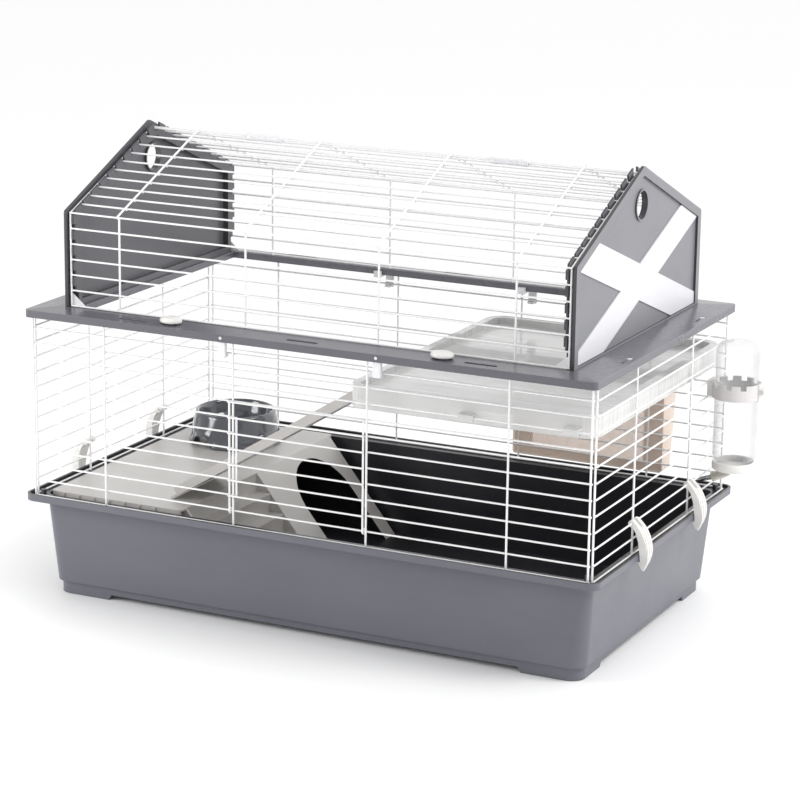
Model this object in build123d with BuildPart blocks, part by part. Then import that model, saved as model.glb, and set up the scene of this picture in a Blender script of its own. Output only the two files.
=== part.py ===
from build123d import *
import os
from math import atan2, cos, degrees, hypot, radians, sin, tan

os.makedirs("parts", exist_ok=True)

# Wire rabbit cage: a plastic tub, a wire cage clipped on it, and a barn roof of
# wire between two plastic gables. X runs along the long side, -Y is the front,
# Z = 0 is the surface that the feet stand on. All sizes are in millimetres.

# ---------------------------------------------------------------- driving sizes
RIM_X = 475.0            # half length of the tub over its rim
RIM_Y = 283.5            # half depth of the tub over its rim
RIM_TOP = 163.0          # top of the rim's outer edge
LEDGE_TOP = 158.0        # ledge that carries the cage
RIM_SKIRT_BOTTOM = 152.5
RIM_CORNER = 17.0
LIP = 4.0                # width of the rim's outer edge
WALL_TOP_X = 455.0       # outer half sizes of the wall under the rim
WALL_TOP_Y = 257.5
WALL_LOW_X = 444.0       # and just above the plinth
WALL_LOW_Y = 252.0
PLINTH_X = 439.0
PLINTH_Y = 247.0
PLINTH_TOP = 20.0
PLINTH_CORNER = 22.0
WALL_LOW_CORNER = 24.0
WALL_TOP_CORNER = 18.0
FOOT_HEIGHT = 8.0
FOOT_X = 92.0
FOOT_Y = 77.0
FOOT_SPLAY = 30.0        # degrees that a foot's inner ends lean
MIDDLE_PAD_R = 34.0      # pad under the middle of the floor
FLOOR_TOP = 11.0
WALL = 3.0
LUG_X = 452.5            # lugs on the ledge, inside the cage's corners
LUG_Y = 261.0

CAGE_X = 463.0           # half sizes to the middle of the level wires
CAGE_Y = 271.0
PITCH = 24.0             # spacing of the level wires
WIRE_LOW = 160.0         # height of the lowest level wire
WIRE_ROWS = 13
THIN = 1.4               # radius of the level wires
THICK = 1.6              # radius of the upright wires
WELD = 2.7               # distance between crossing wires' middles
FORMER_X = (110.0, 332.0)
SIDE_FORMER_Y = 113.0

DOOR_LEFT = -117.0       # side wires of the door
DOOR_RIGHT = 104.0
OPENING_LEFT = -111.0    # upright wires that frame the doorway
OPENING_RIGHT = 109.0
DOOR_ROWS = 7
GAP = 0.4                # running gap between wires that swing and wires that don't

RAIL_X = 467.0           # middle frame, outer half sizes
RAIL_Y = 284.0
RAIL_BOTTOM = 442.0
RAIL_EDGE = 453.5        # top of its outer lip
RAIL_TOP = 456.0         # its highest, inner part
RAIL_OPEN_X = 396.0
RAIL_OPEN_Y = 236.0
RAIL_WALL = 2.5
RAIL_CORNER = 8.0

GABLE_X = 417.0          # outer face
GABLE_Y = 246.0
EAVE = 603.0
APEX = 707.5
FLANGE = 3.0             # inner flange of the wire channel
CHANNEL = 9.0
OUTER_FLANGE = 5.0
CHANNEL_DEPTH = 12.0
BAND = 13.0              # raised band round the outer face
POCKET_BAND = 21.0       # width of the frame left round the inner face's pocket
WINDOW_Z = 650.0
WINDOW_R = 21.0

ROOF_Y = 242.0           # plane of the roof panels' upright part
ROOF_LOW = 457.8         # height of their lowest wire
ROOF_EAVE = 600.5
RIDGE_Y = 4.5            # each panel's ridge wire
RIDGE_Z = 696.0
ROOF_FORMER_X = (109.0, 324.0)
SLOPE_ROWS = 10

CLIP_Z = WIRE_LOW + 2 * PITCH
KNOB_X = 222.0
KNOB_Y = 263.0

PLATFORM_LEFT = 67.0
PLATFORM_RIGHT = 456.0
PLATFORM_Y = 260.0
PLATFORM_BOTTOM = 364.0
PLATFORM_TOP = 397.0

HIDE_LEFT = -436.0
HIDE_EDGE = -215.0       # where the flat roof of the hideout ends
HIDE_FOOT = -92.0        # where its slope meets the floor
HIDE_Y = 236.0
HIDE_TOP = 163.0

BOWL_X = -341.0
BOWL_Y = 144.0
BOTTLE_X = 508.0
BOTTLE_Y = 183.0


def write(piece, name):
    """Label one finished piece and write it to its own file."""
    piece.label = name
    export_step(piece, f"parts/{name}.step")


# ------------------------------------------------------------------------- tub
with BuildPart() as feet:
    with BuildSketch():
        with GridLocations(2 * (PLINTH_X + 20), 2 * (PLINTH_Y + 20), 2, 2):
            Rectangle(2 * (FOOT_X + 20), 2 * (FOOT_Y + 20))
        Circle(MIDDLE_PAD_R)
    extrude(amount=FOOT_HEIGHT, taper=-FOOT_SPLAY)
    with BuildSketch():
        RectangleRounded(2 * PLINTH_X, 2 * PLINTH_Y, PLINTH_CORNER)
    extrude(amount=FOOT_HEIGHT, mode=Mode.INTERSECT)

with BuildPart() as tub:
    with BuildSketch(Plane.XY.offset(PLINTH_TOP)):
        RectangleRounded(2 * WALL_LOW_X, 2 * WALL_LOW_Y, WALL_LOW_CORNER)
    with BuildSketch(Plane.XY.offset(LEDGE_TOP - WALL)):
        RectangleRounded(2 * WALL_TOP_X, 2 * WALL_TOP_Y, WALL_TOP_CORNER)
    loft()
    with BuildSketch(Plane.XY.offset(FOOT_HEIGHT)):
        RectangleRounded(2 * PLINTH_X, 2 * PLINTH_Y, PLINTH_CORNER)
    extrude(amount=PLINTH_TOP - FOOT_HEIGHT)
    add(feet.part)
    with BuildSketch(Plane.XY.offset(LEDGE_TOP - WALL)):
        RectangleRounded(2 * RIM_X, 2 * RIM_Y, RIM_CORNER)
    extrude(amount=WALL)
    with BuildSketch(Plane.XY.offset(RIM_SKIRT_BOTTOM)):
        RectangleRounded(2 * RIM_X, 2 * RIM_Y, RIM_CORNER)
        RectangleRounded(2 * (RIM_X - LIP), 2 * (RIM_Y - LIP), RIM_CORNER - LIP, mode=Mode.SUBTRACT)
    extrude(amount=RIM_TOP - RIM_SKIRT_BOTTOM)
    with BuildSketch(Plane.XY.offset(FLOOR_TOP)):
        RectangleRounded(2 * (PLINTH_X - WALL), 2 * (PLINTH_Y - WALL), PLINTH_CORNER - WALL)
    with BuildSketch(Plane.XY.offset(LEDGE_TOP)):
        RectangleRounded(2 * (WALL_TOP_X - WALL), 2 * (WALL_TOP_Y - WALL), WALL_TOP_CORNER - WALL)
    loft(mode=Mode.SUBTRACT)
    # lugs in the corners of the ledge, inside the cage's corners
    with BuildSketch(Plane.XY.offset(LEDGE_TOP)):
        with GridLocations(2 * LUG_X, 2 * LUG_Y, 2, 2):
            Circle(4.5)
    extrude(amount=9)
write(tub.part, "tub")


# ------------------------------------------------------------------ wire panels
def level_heights(first, count):
    return [first + PITCH * row for row in range(count)]


def long_field(face, x_low, x_high, heights, uprights, z_low, z_high):
    """One flat welded field facing -Y (face = -1) or +Y (face = 1)."""
    with BuildPart() as field:
        with BuildSketch(Plane.YZ.offset(x_low)):
            with Locations(*[(face * CAGE_Y, z) for z in heights]):
                Circle(THIN)
        extrude(amount=x_high - x_low)
        with BuildSketch(Plane.XY.offset(z_low)):
            with Locations(*[(x, face * (CAGE_Y + WELD)) for x in uprights]):
                Circle(THICK)
        extrude(amount=z_high - z_low)
    return field.part


FIELD_END = CAGE_X - 3.5
PANEL_TOP = WIRE_LOW + PITCH * (WIRE_ROWS - 1)
LOW_CUT = WIRE_LOW + 1.5 * PITCH
HIGH_CUT = LOW_CUT + (DOOR_ROWS - 1) * PITCH
EDGE_UPRIGHT = FIELD_END - THICK
ALL_UPRIGHTS = [
    -EDGE_UPRIGHT,
    -FORMER_X[1],
    OPENING_LEFT,
    OPENING_RIGHT,
    FORMER_X[1],
    EDGE_UPRIGHT,
]

front_fields = [
    long_field(
        -1, -FIELD_END, FIELD_END, level_heights(WIRE_LOW, 2), ALL_UPRIGHTS, WIRE_LOW - THIN, LOW_CUT
    ),
    long_field(
        -1,
        -FIELD_END,
        OPENING_LEFT,
        level_heights(WIRE_LOW + 2 * PITCH, DOOR_ROWS - 1),
        ALL_UPRIGHTS[:3],
        LOW_CUT,
        HIGH_CUT,
    ),
    long_field(
        -1,
        OPENING_RIGHT,
        FIELD_END,
        level_heights(WIRE_LOW + 2 * PITCH, DOOR_ROWS - 1),
        ALL_UPRIGHTS[3:],
        LOW_CUT,
        HIGH_CUT,
    ),
    long_field(
        -1,
        -FIELD_END,
        FIELD_END,
        level_heights(WIRE_LOW + 8 * PITCH, WIRE_ROWS - 8),
        ALL_UPRIGHTS,
        HIGH_CUT,
        PANEL_TOP + THIN,
    ),
]
write(Compound(children=front_fields), "front_wire_panel")

rear_panel = long_field(
    1,
    -FIELD_END,
    FIELD_END,
    level_heights(WIRE_LOW, WIRE_ROWS),
    [-EDGE_UPRIGHT, -FORMER_X[1], -FORMER_X[0], FORMER_X[0], FORMER_X[1], EDGE_UPRIGHT],
    WIRE_LOW - THIN,
    PANEL_TOP + THIN,
)
write(rear_panel, "rear_wire_panel")

SIDE_END = CAGE_Y - 6
SIDE_UPRIGHTS = [-SIDE_END + THICK, -SIDE_FORMER_Y, SIDE_FORMER_Y, SIDE_END - THICK]
for side, name in ((-1, "left_wire_panel"), (1, "right_wire_panel")):
    with BuildPart() as side_panel:
        with BuildSketch(Plane.XZ.offset(-SIDE_END)):
            with Locations(*[(side * CAGE_X, z) for z in level_heights(WIRE_LOW, WIRE_ROWS)]):
                Circle(THIN)
        extrude(amount=2 * SIDE_END)
        with BuildSketch(Plane.XY.offset(WIRE_LOW - THIN)):
            with Locations(*[(side * (CAGE_X - WELD), y) for y in SIDE_UPRIGHTS]):
                Circle(THICK)
        extrude(amount=PANEL_TOP - WIRE_LOW + 2 * THIN)
    write(side_panel.part, name)

# ------------------------------------------------------------------------ door
# Its side wires end in eyes that turn round the second level wire.
HINGE_Z = WIRE_LOW + PITCH
DOOR_SIDE_Y = -CAGE_Y - THIN - GAP - THICK
DOOR_ROW_Y = DOOR_SIDE_Y - WELD
EYE_RADIUS = -CAGE_Y - DOOR_SIDE_Y
DOOR_TOP = HINGE_Z + DOOR_ROWS * PITCH
SHORT_WIRE_X = DOOR_LEFT + 12.0

with BuildPart() as door:
    with BuildSketch(Plane.YZ.offset(DOOR_LEFT - THICK)):
        with Locations(*[(DOOR_ROW_Y, z) for z in level_heights(HINGE_Z + PITCH, DOOR_ROWS)]):
            Circle(THIN)
    extrude(amount=DOOR_RIGHT - DOOR_LEFT + 2 * THICK)
    with BuildSketch(Plane.XY.offset(HINGE_Z)):
        with Locations((DOOR_LEFT, DOOR_SIDE_Y), (DOOR_RIGHT, DOOR_SIDE_Y)):
            Circle(THICK)
    extrude(amount=DOOR_TOP - HINGE_Z + THIN)
    with BuildSketch(Plane.XY.offset(HINGE_Z + PITCH - THIN)):
        with Locations((SHORT_WIRE_X, DOOR_SIDE_Y)):
            Circle(THICK)
    extrude(amount=(DOOR_ROWS - 2) * PITCH + 2 * THIN)
    for eye_x in (DOOR_LEFT, DOOR_RIGHT):
        with BuildSketch(Plane.XY.offset(HINGE_Z)):
            with Locations((eye_x, DOOR_SIDE_Y)):
                Circle(THICK)
        revolve(axis=Axis((0, -CAGE_Y, HINGE_Z), (1, 0, 0)), revolution_arc=270)
write(door.part, "front_door")

# ---------------------------------------------------------------- middle frame
SLOT_X = 284.0
SLOT_LENGTH = 52.0
SLOT_WIDTH = 7.0
SLOT_Y = 268.0
SIDE_SLOT_Y = 148.0
SIDE_SLOT_WIDTH = 4.0
SLOPE_WIDTH = 38.0


def frame_rail(name, keep_centre, keep_size):
    """One rail: the part of the whole ring that lies in the kept box."""
    with BuildPart() as rail:
        with BuildSketch(Plane.XY.offset(RAIL_BOTTOM)):
            RectangleRounded(2 * RAIL_X, 2 * RAIL_Y, RAIL_CORNER)
        extrude(amount=RAIL_EDGE - RAIL_BOTTOM)
        with BuildSketch(Plane.XY.offset(RAIL_EDGE)):
            RectangleRounded(2 * RAIL_X, 2 * RAIL_Y, RAIL_CORNER)
        with BuildSketch(Plane.XY.offset(RAIL_TOP)):
            RectangleRounded(2 * (RAIL_X - SLOPE_WIDTH), 2 * (RAIL_Y - SLOPE_WIDTH + 1), 4)
        loft()
        with BuildSketch(Plane.XY.offset(RAIL_BOTTOM)):
            RectangleRounded(2 * (RAIL_X - RAIL_WALL), 2 * (RAIL_Y - RAIL_WALL), RAIL_CORNER - RAIL_WALL)
            Rectangle(2 * (RAIL_OPEN_X + RAIL_WALL), 2 * (RAIL_OPEN_Y + RAIL_WALL), mode=Mode.SUBTRACT)
        extrude(amount=RAIL_EDGE - RAIL_BOTTOM - RAIL_WALL, mode=Mode.SUBTRACT)
        with BuildSketch(Plane.XY.offset(RAIL_BOTTOM)):
            Rectangle(2 * RAIL_OPEN_X, 2 * RAIL_OPEN_Y)
        extrude(amount=4 * (RAIL_TOP - RAIL_BOTTOM), mode=Mode.SUBTRACT)
        # the inner lip is shorter than the outer one
        with BuildSketch(Plane.XY.offset(RAIL_BOTTOM)):
            Rectangle(2 * (RAIL_OPEN_X + RAIL_WALL), 2 * (RAIL_OPEN_Y + RAIL_WALL))
        extrude(amount=4, mode=Mode.SUBTRACT)
        # slots in the top, and holes for the knobs' stems
        with BuildSketch(Plane.XY.offset(RAIL_BOTTOM)):
            with Locations(*[(x, y) for x in (-SLOT_X, 0, SLOT_X) for y in (-SLOT_Y, SLOT_Y)]):
                SlotOverall(SLOT_LENGTH, SLOT_WIDTH)
            with GridLocations(2 * (RAIL_X - 12), 2 * SIDE_SLOT_Y, 2, 2):
                SlotOverall(34, SIDE_SLOT_WIDTH, rotation=90)
            for side in (-1, 1):
                for y in (-SIDE_SLOT_Y, SIDE_SLOT_Y):
                    with Locations((side * (RAIL_X - 12), y + 15)):
                        Rectangle(8, 9)
            with Locations((-KNOB_X, -KNOB_Y), (KNOB_X, -KNOB_Y)):
                Circle(3.08)
        extrude(amount=4 * (RAIL_TOP - RAIL_BOTTOM), mode=Mode.SUBTRACT)
        # peep holes of the frame hooks in the outer lip
        with BuildSketch(Plane.XZ.offset(RAIL_Y + 10)):
            with Locations((-127, 448), (127, 448)):
                Circle(2.6)
        extrude(amount=-(RAIL_WALL + 11), mode=Mode.SUBTRACT)
        with BuildSketch(Plane.XY.offset(RAIL_BOTTOM)):
            with Locations(keep_centre):
                Rectangle(*keep_size)
        extrude(amount=RAIL_TOP - RAIL_BOTTOM, mode=Mode.INTERSECT)
    write(rail.part, name)


RAIL_DEPTH = RAIL_Y - RAIL_OPEN_Y
RAIL_MID_Y = RAIL_OPEN_Y + RAIL_DEPTH / 2
frame_rail("front_rail", (0, -RAIL_MID_Y), (2 * RAIL_X, RAIL_DEPTH))
frame_rail("rear_rail", (0, RAIL_MID_Y), (2 * RAIL_X, RAIL_DEPTH))
frame_rail("left_rail", (-RAIL_X / 2, 0), (RAIL_X, 2 * RAIL_OPEN_Y))
frame_rail("right_rail", (RAIL_X / 2, 0), (RAIL_X, 2 * RAIL_OPEN_Y))

# Hooks that hold the frame on the long panels.
for face, name in ((-1, "front_frame_hooks"), (1, "rear_frame_hooks")):
    with BuildPart() as hooks:
        with BuildSketch(Plane.XY.offset(418.5)):
            with Locations((-127, face * 277.6), (127, face * 277.6)):
                RectangleRounded(14, 7, 2)
        extrude(amount=31)
        with BuildSketch(Plane.XY.offset(418.5)):
            with Locations((-127, face * 272.5), (127, face * 272.5)):
                Rectangle(10, 9)
        extrude(amount=3.5)
        # an arm under the rail to a white head at its inner lip
        with BuildSketch(Plane.XY.offset(RAIL_BOTTOM)):
            with Locations((-127, face * 254), (127, face * 254)):
                Rectangle(9, 46)
        extrude(amount=3.5)
        with BuildSketch(Plane.XY.offset(RAIL_BOTTOM)):
            with Locations((-127, face * 232.5), (127, face * 232.5)):
                Rectangle(12, 6)
        extrude(amount=10)
    write(hooks.part, name)

# ---------------------------------------------------------------------- gables
GABLE_OUTLINE = [
    (-GABLE_Y, RAIL_TOP),
    (-GABLE_Y, EAVE),
    (0, APEX),
    (GABLE_Y, EAVE),
    (GABLE_Y, RAIL_TOP),
]
SLOPE = atan2(APEX - EAVE, GABLE_Y)
ROOF_RUN = ROOF_Y - RIDGE_Y
ROOF_RISE = RIDGE_Z - ROOF_EAVE
ROOF_LENGTH = hypot(ROOF_RUN, ROOF_RISE)
ROOF_SLOPE = atan2(ROOF_RISE, ROOF_RUN)
SKIRT_ROWS = 6
NOTCH_REACH = 12.0       # how far a slope wire travels inside its notch
SKIRT_PITCH = (ROOF_EAVE - ROOF_LOW) / SKIRT_ROWS


def inset_outline(inset, foot):
    """The gable's outline moved inwards, with its foot at a given height."""
    eave = EAVE - inset / cos(SLOPE) + inset * tan(SLOPE)
    apex = APEX - inset / cos(SLOPE)
    half = GABLE_Y - inset
    return [(-half, foot), (-half, eave), (0, apex), (half, eave), (half, foot)]


def roof_points():
    """Places of the level wires, from the ridge to the foot, on the rear side."""
    points = []
    for row in range(1, SLOPE_ROWS + 1):
        share = row / SLOPE_ROWS
        points.append((RIDGE_Y + ROOF_RUN * share, RIDGE_Z - ROOF_RISE * share))
    for row in range(1, SKIRT_ROWS + 1):
        points.append((ROOF_Y, ROOF_EAVE - SKIRT_PITCH * row))
    return points


for side, name in ((-1, "left_gable"), (1, "right_gable")):
    inner = GABLE_X - OUTER_FLANGE - CHANNEL - FLANGE
    with BuildPart() as gable:
        with BuildSketch(Plane.YZ.offset(side * inner)):
            with BuildLine():
                Polyline(*GABLE_OUTLINE, close=True)
            make_face()
        extrude(amount=side * FLANGE)
        with BuildSketch(Plane.YZ.offset(side * (inner + FLANGE))):
            with BuildLine():
                Polyline(*inset_outline(CHANNEL_DEPTH, RAIL_TOP), close=True)
            make_face()
        extrude(amount=side * CHANNEL)
        with BuildSketch(Plane.YZ.offset(side * (GABLE_X - OUTER_FLANGE))):
            with BuildLine():
                Polyline(*GABLE_OUTLINE, close=True)
            make_face()
            fillet(vertices().sort_by(Axis.Y)[-3:], 5)
        extrude(amount=side * OUTER_FLANGE)
        # recess of the outer face
        with BuildSketch(Plane.YZ.offset(side * GABLE_X)):
            with BuildLine():
                Polyline(*inset_outline(BAND, RAIL_TOP + 3), close=True)
            make_face()
        extrude(amount=-side * 4, mode=Mode.SUBTRACT)
        # pocket of the inner face, which leaves a thin panel
        with BuildSketch(Plane.YZ.offset(side * inner)):
            with BuildLine():
                Polyline(*inset_outline(POCKET_BAND, RAIL_TOP + 10), close=True)
            make_face()
        extrude(amount=side * (GABLE_X - 7.5 - inner), mode=Mode.SUBTRACT)
        # window with its collar
        with BuildSketch(Plane.YZ.offset(side * (GABLE_X - 11))):
            with Locations((0, WINDOW_Z)):
                Circle(WINDOW_R + 2.5)
        extrude(amount=side * 9.5)
        with BuildSketch(Plane.YZ.offset(side * inner)):
            with Locations((0, WINDOW_Z)):
                Circle(WINDOW_R)
        extrude(amount=side * (GABLE_X - inner), mode=Mode.SUBTRACT)
        # notches of the inner flange, where the roof's level wires pass
        with BuildSketch(Plane.YZ.offset(side * inner)):
            for hand in (-1, 1):
                for row, (y, z) in enumerate(roof_points()[:SLOPE_ROWS], 1):
                    # the wire swings towards the ridge as it leaves its notch
                    drift = NOTCH_REACH**2 * SLOPE_ROWS / (2 * ROOF_LENGTH * row)
                    notch_y = y + 6 * sin(ROOF_SLOPE) - drift / 2 * cos(ROOF_SLOPE)
                    notch_z = z + 6 * cos(ROOF_SLOPE) + drift / 2 * sin(ROOF_SLOPE)
                    with Locations((hand * notch_y, notch_z)):
                        Rectangle(4.6 + drift, 17, rotation=-hand * degrees(ROOF_SLOPE))
                for y, z in roof_points()[SLOPE_ROWS - 1 :]:
                    with Locations((hand * (y + 3), z + 2.6)):
                        Rectangle(10, 9.6)
                with Locations((hand * (ROOF_Y + 1), ROOF_LOW + 9)):
                    Rectangle(18, 28)
            with Locations((0, RIDGE_Z + 8)):
                Rectangle(2 * RIDGE_Y + 7, 24)
        extrude(amount=side * FLANGE, mode=Mode.SUBTRACT)
    write(gable.part, name)

# White crossed boards laid in the recess of each gable.
BOARD = 51.0
BOARD_SLOPE = 20.3
CROSS_Z = 536.0
for side, name in ((-1, "left_gable_cross"), (1, "right_gable_cross")):
    with BuildPart() as cross:
        with BuildSketch(Plane.YZ.offset(side * (GABLE_X - 4))):
            with Locations((0, CROSS_Z)):
                Rectangle(600, BOARD, rotation=BOARD_SLOPE)
                Rectangle(600, BOARD, rotation=-BOARD_SLOPE)
        extrude(amount=side * 2)
        with BuildSketch(Plane.YZ.offset(side * (GABLE_X - 4))):
            with BuildLine():
                Polyline(*inset_outline(BAND + 0.5, RAIL_TOP + 3.5), close=True)
            make_face()
        extrude(amount=side * 2, mode=Mode.INTERSECT)
    write(cross.part, name)

# ------------------------------------------------------------- roof wire panels
END_WIRE_X = GABLE_X - OUTER_FLANGE - CHANNEL / 2
ROW_END_X = END_WIRE_X + 0.8
OVERRUN = 0.7            # the upright wires run a little past the outer level wires
ROOF_FORMERS = (-ROOF_FORMER_X[1], -ROOF_FORMER_X[0], ROOF_FORMER_X[0], ROOF_FORMER_X[1])


def roof_slope(face):
    """Sloping half of a roof panel; face is -1 at the front, 1 at the rear."""
    slope_plane = Plane(
        origin=(0, face * (RIDGE_Y - OVERRUN * cos(ROOF_SLOPE)), RIDGE_Z + OVERRUN * sin(ROOF_SLOPE)),
        x_dir=(1, 0, 0),
        z_dir=(0, face * cos(ROOF_SLOPE), -sin(ROOF_SLOPE)),
    )
    with BuildPart() as slope:
        with BuildSketch(Plane.YZ.offset(-ROW_END_X)):
            with Locations((face * RIDGE_Y, RIDGE_Z)):
                Circle(THIN)
            with Locations(*[(face * y, z) for y, z in roof_points()[:SLOPE_ROWS]]):
                Circle(THIN)
        extrude(amount=2 * ROW_END_X)
        with BuildSketch(slope_plane):
            with Locations((-END_WIRE_X, 0), (END_WIRE_X, 0)):
                Circle(THICK)
            with Locations(*[(x, -face * WELD) for x in ROOF_FORMERS]):
                Circle(THICK)
        extrude(amount=ROOF_LENGTH + 2 * OVERRUN)
    return slope.part


def roof_skirt(face):
    """Upright half of a roof panel, below the eave."""
    top = ROOF_EAVE - THIN - 0.4
    with BuildPart() as skirt:
        with BuildSketch(Plane.YZ.offset(-ROW_END_X)):
            with Locations(*[(face * y, z) for y, z in roof_points()[SLOPE_ROWS:]]):
                Circle(THIN)
        extrude(amount=2 * ROW_END_X)
        with BuildSketch(Plane.XY.offset(ROOF_LOW - OVERRUN)):
            with Locations((-END_WIRE_X, face * ROOF_Y), (END_WIRE_X, face * ROOF_Y)):
                Circle(THICK)
            with Locations(*[(x, face * (ROOF_Y - WELD)) for x in ROOF_FORMERS]):
                Circle(THICK)
        extrude(amount=top - ROOF_LOW + OVERRUN)
    return skirt.part


for face, name in ((-1, "front_roof_panel"), (1, "rear_roof_panel")):
    write(Compound(children=[roof_slope(face), roof_skirt(face)]), name)

# White plates in the lower corners of the roof panels.
for face, name in ((-1, "front_roof_corner_plates"), (1, "rear_roof_corner_plates")):
    with BuildPart() as plates:
        with BuildSketch(Plane.XZ.offset(-face * (ROOF_Y - THICK - 0.1))):
            for side in (-1, 1):
                with BuildLine():
                    Polyline(
                        (side * 386, ROOF_LOW + 1),
                        (side * 408, ROOF_LOW + 1),
                        (side * 408, ROOF_LOW + 19),
                        close=True,
                    )
                make_face()
        extrude(amount=face * 2)
    write(plates.part, name)

# --------------------------------------------------------------- ridge clips
RIDGE_CLIP_X = 206.0
with BuildPart() as ridge_clips:
    with BuildSketch(Plane.YZ.offset(-RIDGE_CLIP_X - 30)):
        with Locations((0, RIDGE_Z + 0.5)):
            RectangleRounded(19, 11, 4)
        with Locations((-RIDGE_Y, RIDGE_Z), (RIDGE_Y, RIDGE_Z)):
            Circle(THIN + GAP, mode=Mode.SUBTRACT)
    extrude(amount=60)
    with BuildSketch(Plane.YZ.offset(RIDGE_CLIP_X - 30)):
        with Locations((0, RIDGE_Z + 0.5)):
            RectangleRounded(19, 11, 4)
        with Locations((-RIDGE_Y, RIDGE_Z), (RIDGE_Y, RIDGE_Z)):
            Circle(THIN + GAP, mode=Mode.SUBTRACT)
    extrude(amount=60)
write(ridge_clips.part, "ridge_clips")

# --------------------------------------------------------------- roof latches
KNOB_LOW = RAIL_TOP + 0.4
KNOB_TOP = 466.0
for side, name in ((-1, "left_roof_latch"), (1, "right_roof_latch")):
    with BuildPart() as latch:
        with BuildSketch(Plane.XY.offset(KNOB_LOW)):
            with Locations((side * KNOB_X, -KNOB_Y)):
                Ellipse(18, 12.5)
        extrude(amount=KNOB_TOP - KNOB_LOW)
        fillet(latch.edges().group_by(Axis.Z)[-1], 6)
        with BuildSketch(Plane.XY.offset(RAIL_BOTTOM + 5)):
            with Locations((side * KNOB_X, -KNOB_Y)):
                Circle(3)
        extrude(amount=KNOB_LOW - RAIL_BOTTOM - 5)
    write(latch.part, name)

# ----------------------------------------------------------------- side clips
# Claws that turn on the third level wire and hook under the tub's rim.
CLIP_HALF = 13.0
CLIP_SLOT = 4.0
CLIP_EYE = 5.0
CLIP_TIP = RIM_SKIRT_BOTTOM - 17
CLIP_BULGE = 21.0


def clip_profile(side, bulge):
    """Side view of the claw: down over the rim, with a nose under its skirt."""
    with BuildLine() as outline:
        outer = ThreePointArc(
            (side * (CAGE_X + 1), CLIP_Z + 4.8),
            (side * (CAGE_X + bulge), CLIP_Z - 22),
            (side * (RIM_X + 5), CLIP_TIP),
        )
        Polyline(
            outer @ 1,
            (side * (RIM_X + 1), CLIP_TIP + 4),
            (side * (RIM_X - 2), RIM_SKIRT_BOTTOM - 2),
            (side * (RIM_X + 1.2), RIM_SKIRT_BOTTOM - 1.6),
            (side * (RIM_X + 1.2), RIM_TOP + 2.5),
            (side * (RIM_X - 0.5), CLIP_Z - 26),
            (side * (CAGE_X + 7.5), CLIP_Z - 13),
            (side * (CAGE_X + 2.8), CLIP_Z - 6),
            outer @ 0,
        )
    return outline


def side_clip(side, y, name):
    with BuildPart() as clip:
        for offset, width, extra in ((0, 2 * CLIP_HALF, 0), (-8, 4, 1.5), (0, 4, 1.5), (8, 4, 1.5)):
            with BuildSketch(Plane.XZ.offset(-(y + offset + width / 2))):
                add(clip_profile(side, CLIP_BULGE + extra))
                make_face()
            extrude(amount=width)
        with BuildSketch(Plane.XZ.offset(-(y + CLIP_HALF))):
            with Locations((side * CAGE_X, CLIP_Z)):
                Circle(CLIP_EYE)
        extrude(amount=2 * CLIP_HALF)
        with BuildSketch(Plane.XZ.offset(-(y + CLIP_HALF))):
            with Locations((side * CAGE_X, CLIP_Z)):
                Circle(THIN + GAP)
        extrude(amount=2 * CLIP_HALF, mode=Mode.SUBTRACT)
        # room for the panel's upright wire
        with BuildSketch(Plane.XZ.offset(-(y + CLIP_SLOT))):
            with Locations((side * CAGE_X, CLIP_Z + 7)):
                Rectangle(60, 27)
        extrude(amount=2 * CLIP_SLOT, mode=Mode.SUBTRACT)
        # the claw narrows to its tip like a leaf
        with BuildSketch(Plane.YZ.offset(side * (CAGE_X - 2 * CLIP_EYE))):
            with BuildLine():
                Spline(
                    (y - 11, CLIP_Z + 6),
                    (y - CLIP_HALF, CLIP_Z - 14),
                    (y - 10.5, CLIP_Z - 42),
                    (y - 2.5, CLIP_TIP),
                )
                Spline(
                    (y + 2.5, CLIP_TIP),
                    (y + 10.5, CLIP_Z - 42),
                    (y + CLIP_HALF, CLIP_Z - 14),
                    (y + 11, CLIP_Z + 6),
                )
                Line((y - 2.5, CLIP_TIP), (y + 2.5, CLIP_TIP))
                Line((y + 11, CLIP_Z + 6), (y - 11, CLIP_Z + 6))
            make_face()
        extrude(amount=side * 60, mode=Mode.INTERSECT)
    write(clip.part, name)


side_clip(-1, -SIDE_FORMER_Y, "left_front_clip")
side_clip(-1, SIDE_FORMER_Y, "left_rear_clip")
side_clip(1, -SIDE_FORMER_Y, "right_front_clip")
side_clip(1, SIDE_FORMER_Y, "right_rear_clip")

# -------------------------------------------------------------------- hideout
# A moulded house in the left of the tub: a flat roof level with the rim, a slope
# with an arched doorway, and a flight of steps beside it.
SHEET = 3.0
STEPS = 5
STAIR_LOW_Y = -232.0
STAIR_HIGH_Y = -14.0
HIDE_FLOOR = FLOOR_TOP + 0.3
HIDE_RISE = (HIDE_TOP - HIDE_FLOOR) / STEPS
HIDE_RUN = (HIDE_FOOT - HIDE_EDGE) / STEPS
HIDE_SLOPE = atan2(HIDE_TOP - HIDE_FLOOR, HIDE_FOOT - HIDE_EDGE)
DOORWAY_Y = 128.0
DOORWAY_R = 75.0
DOORWAY_CENTRE = 104.0   # up the slope
BRIM_X = -447.0
BRIM_Y = 249.0
BRIM_LOW = 154.0

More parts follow.
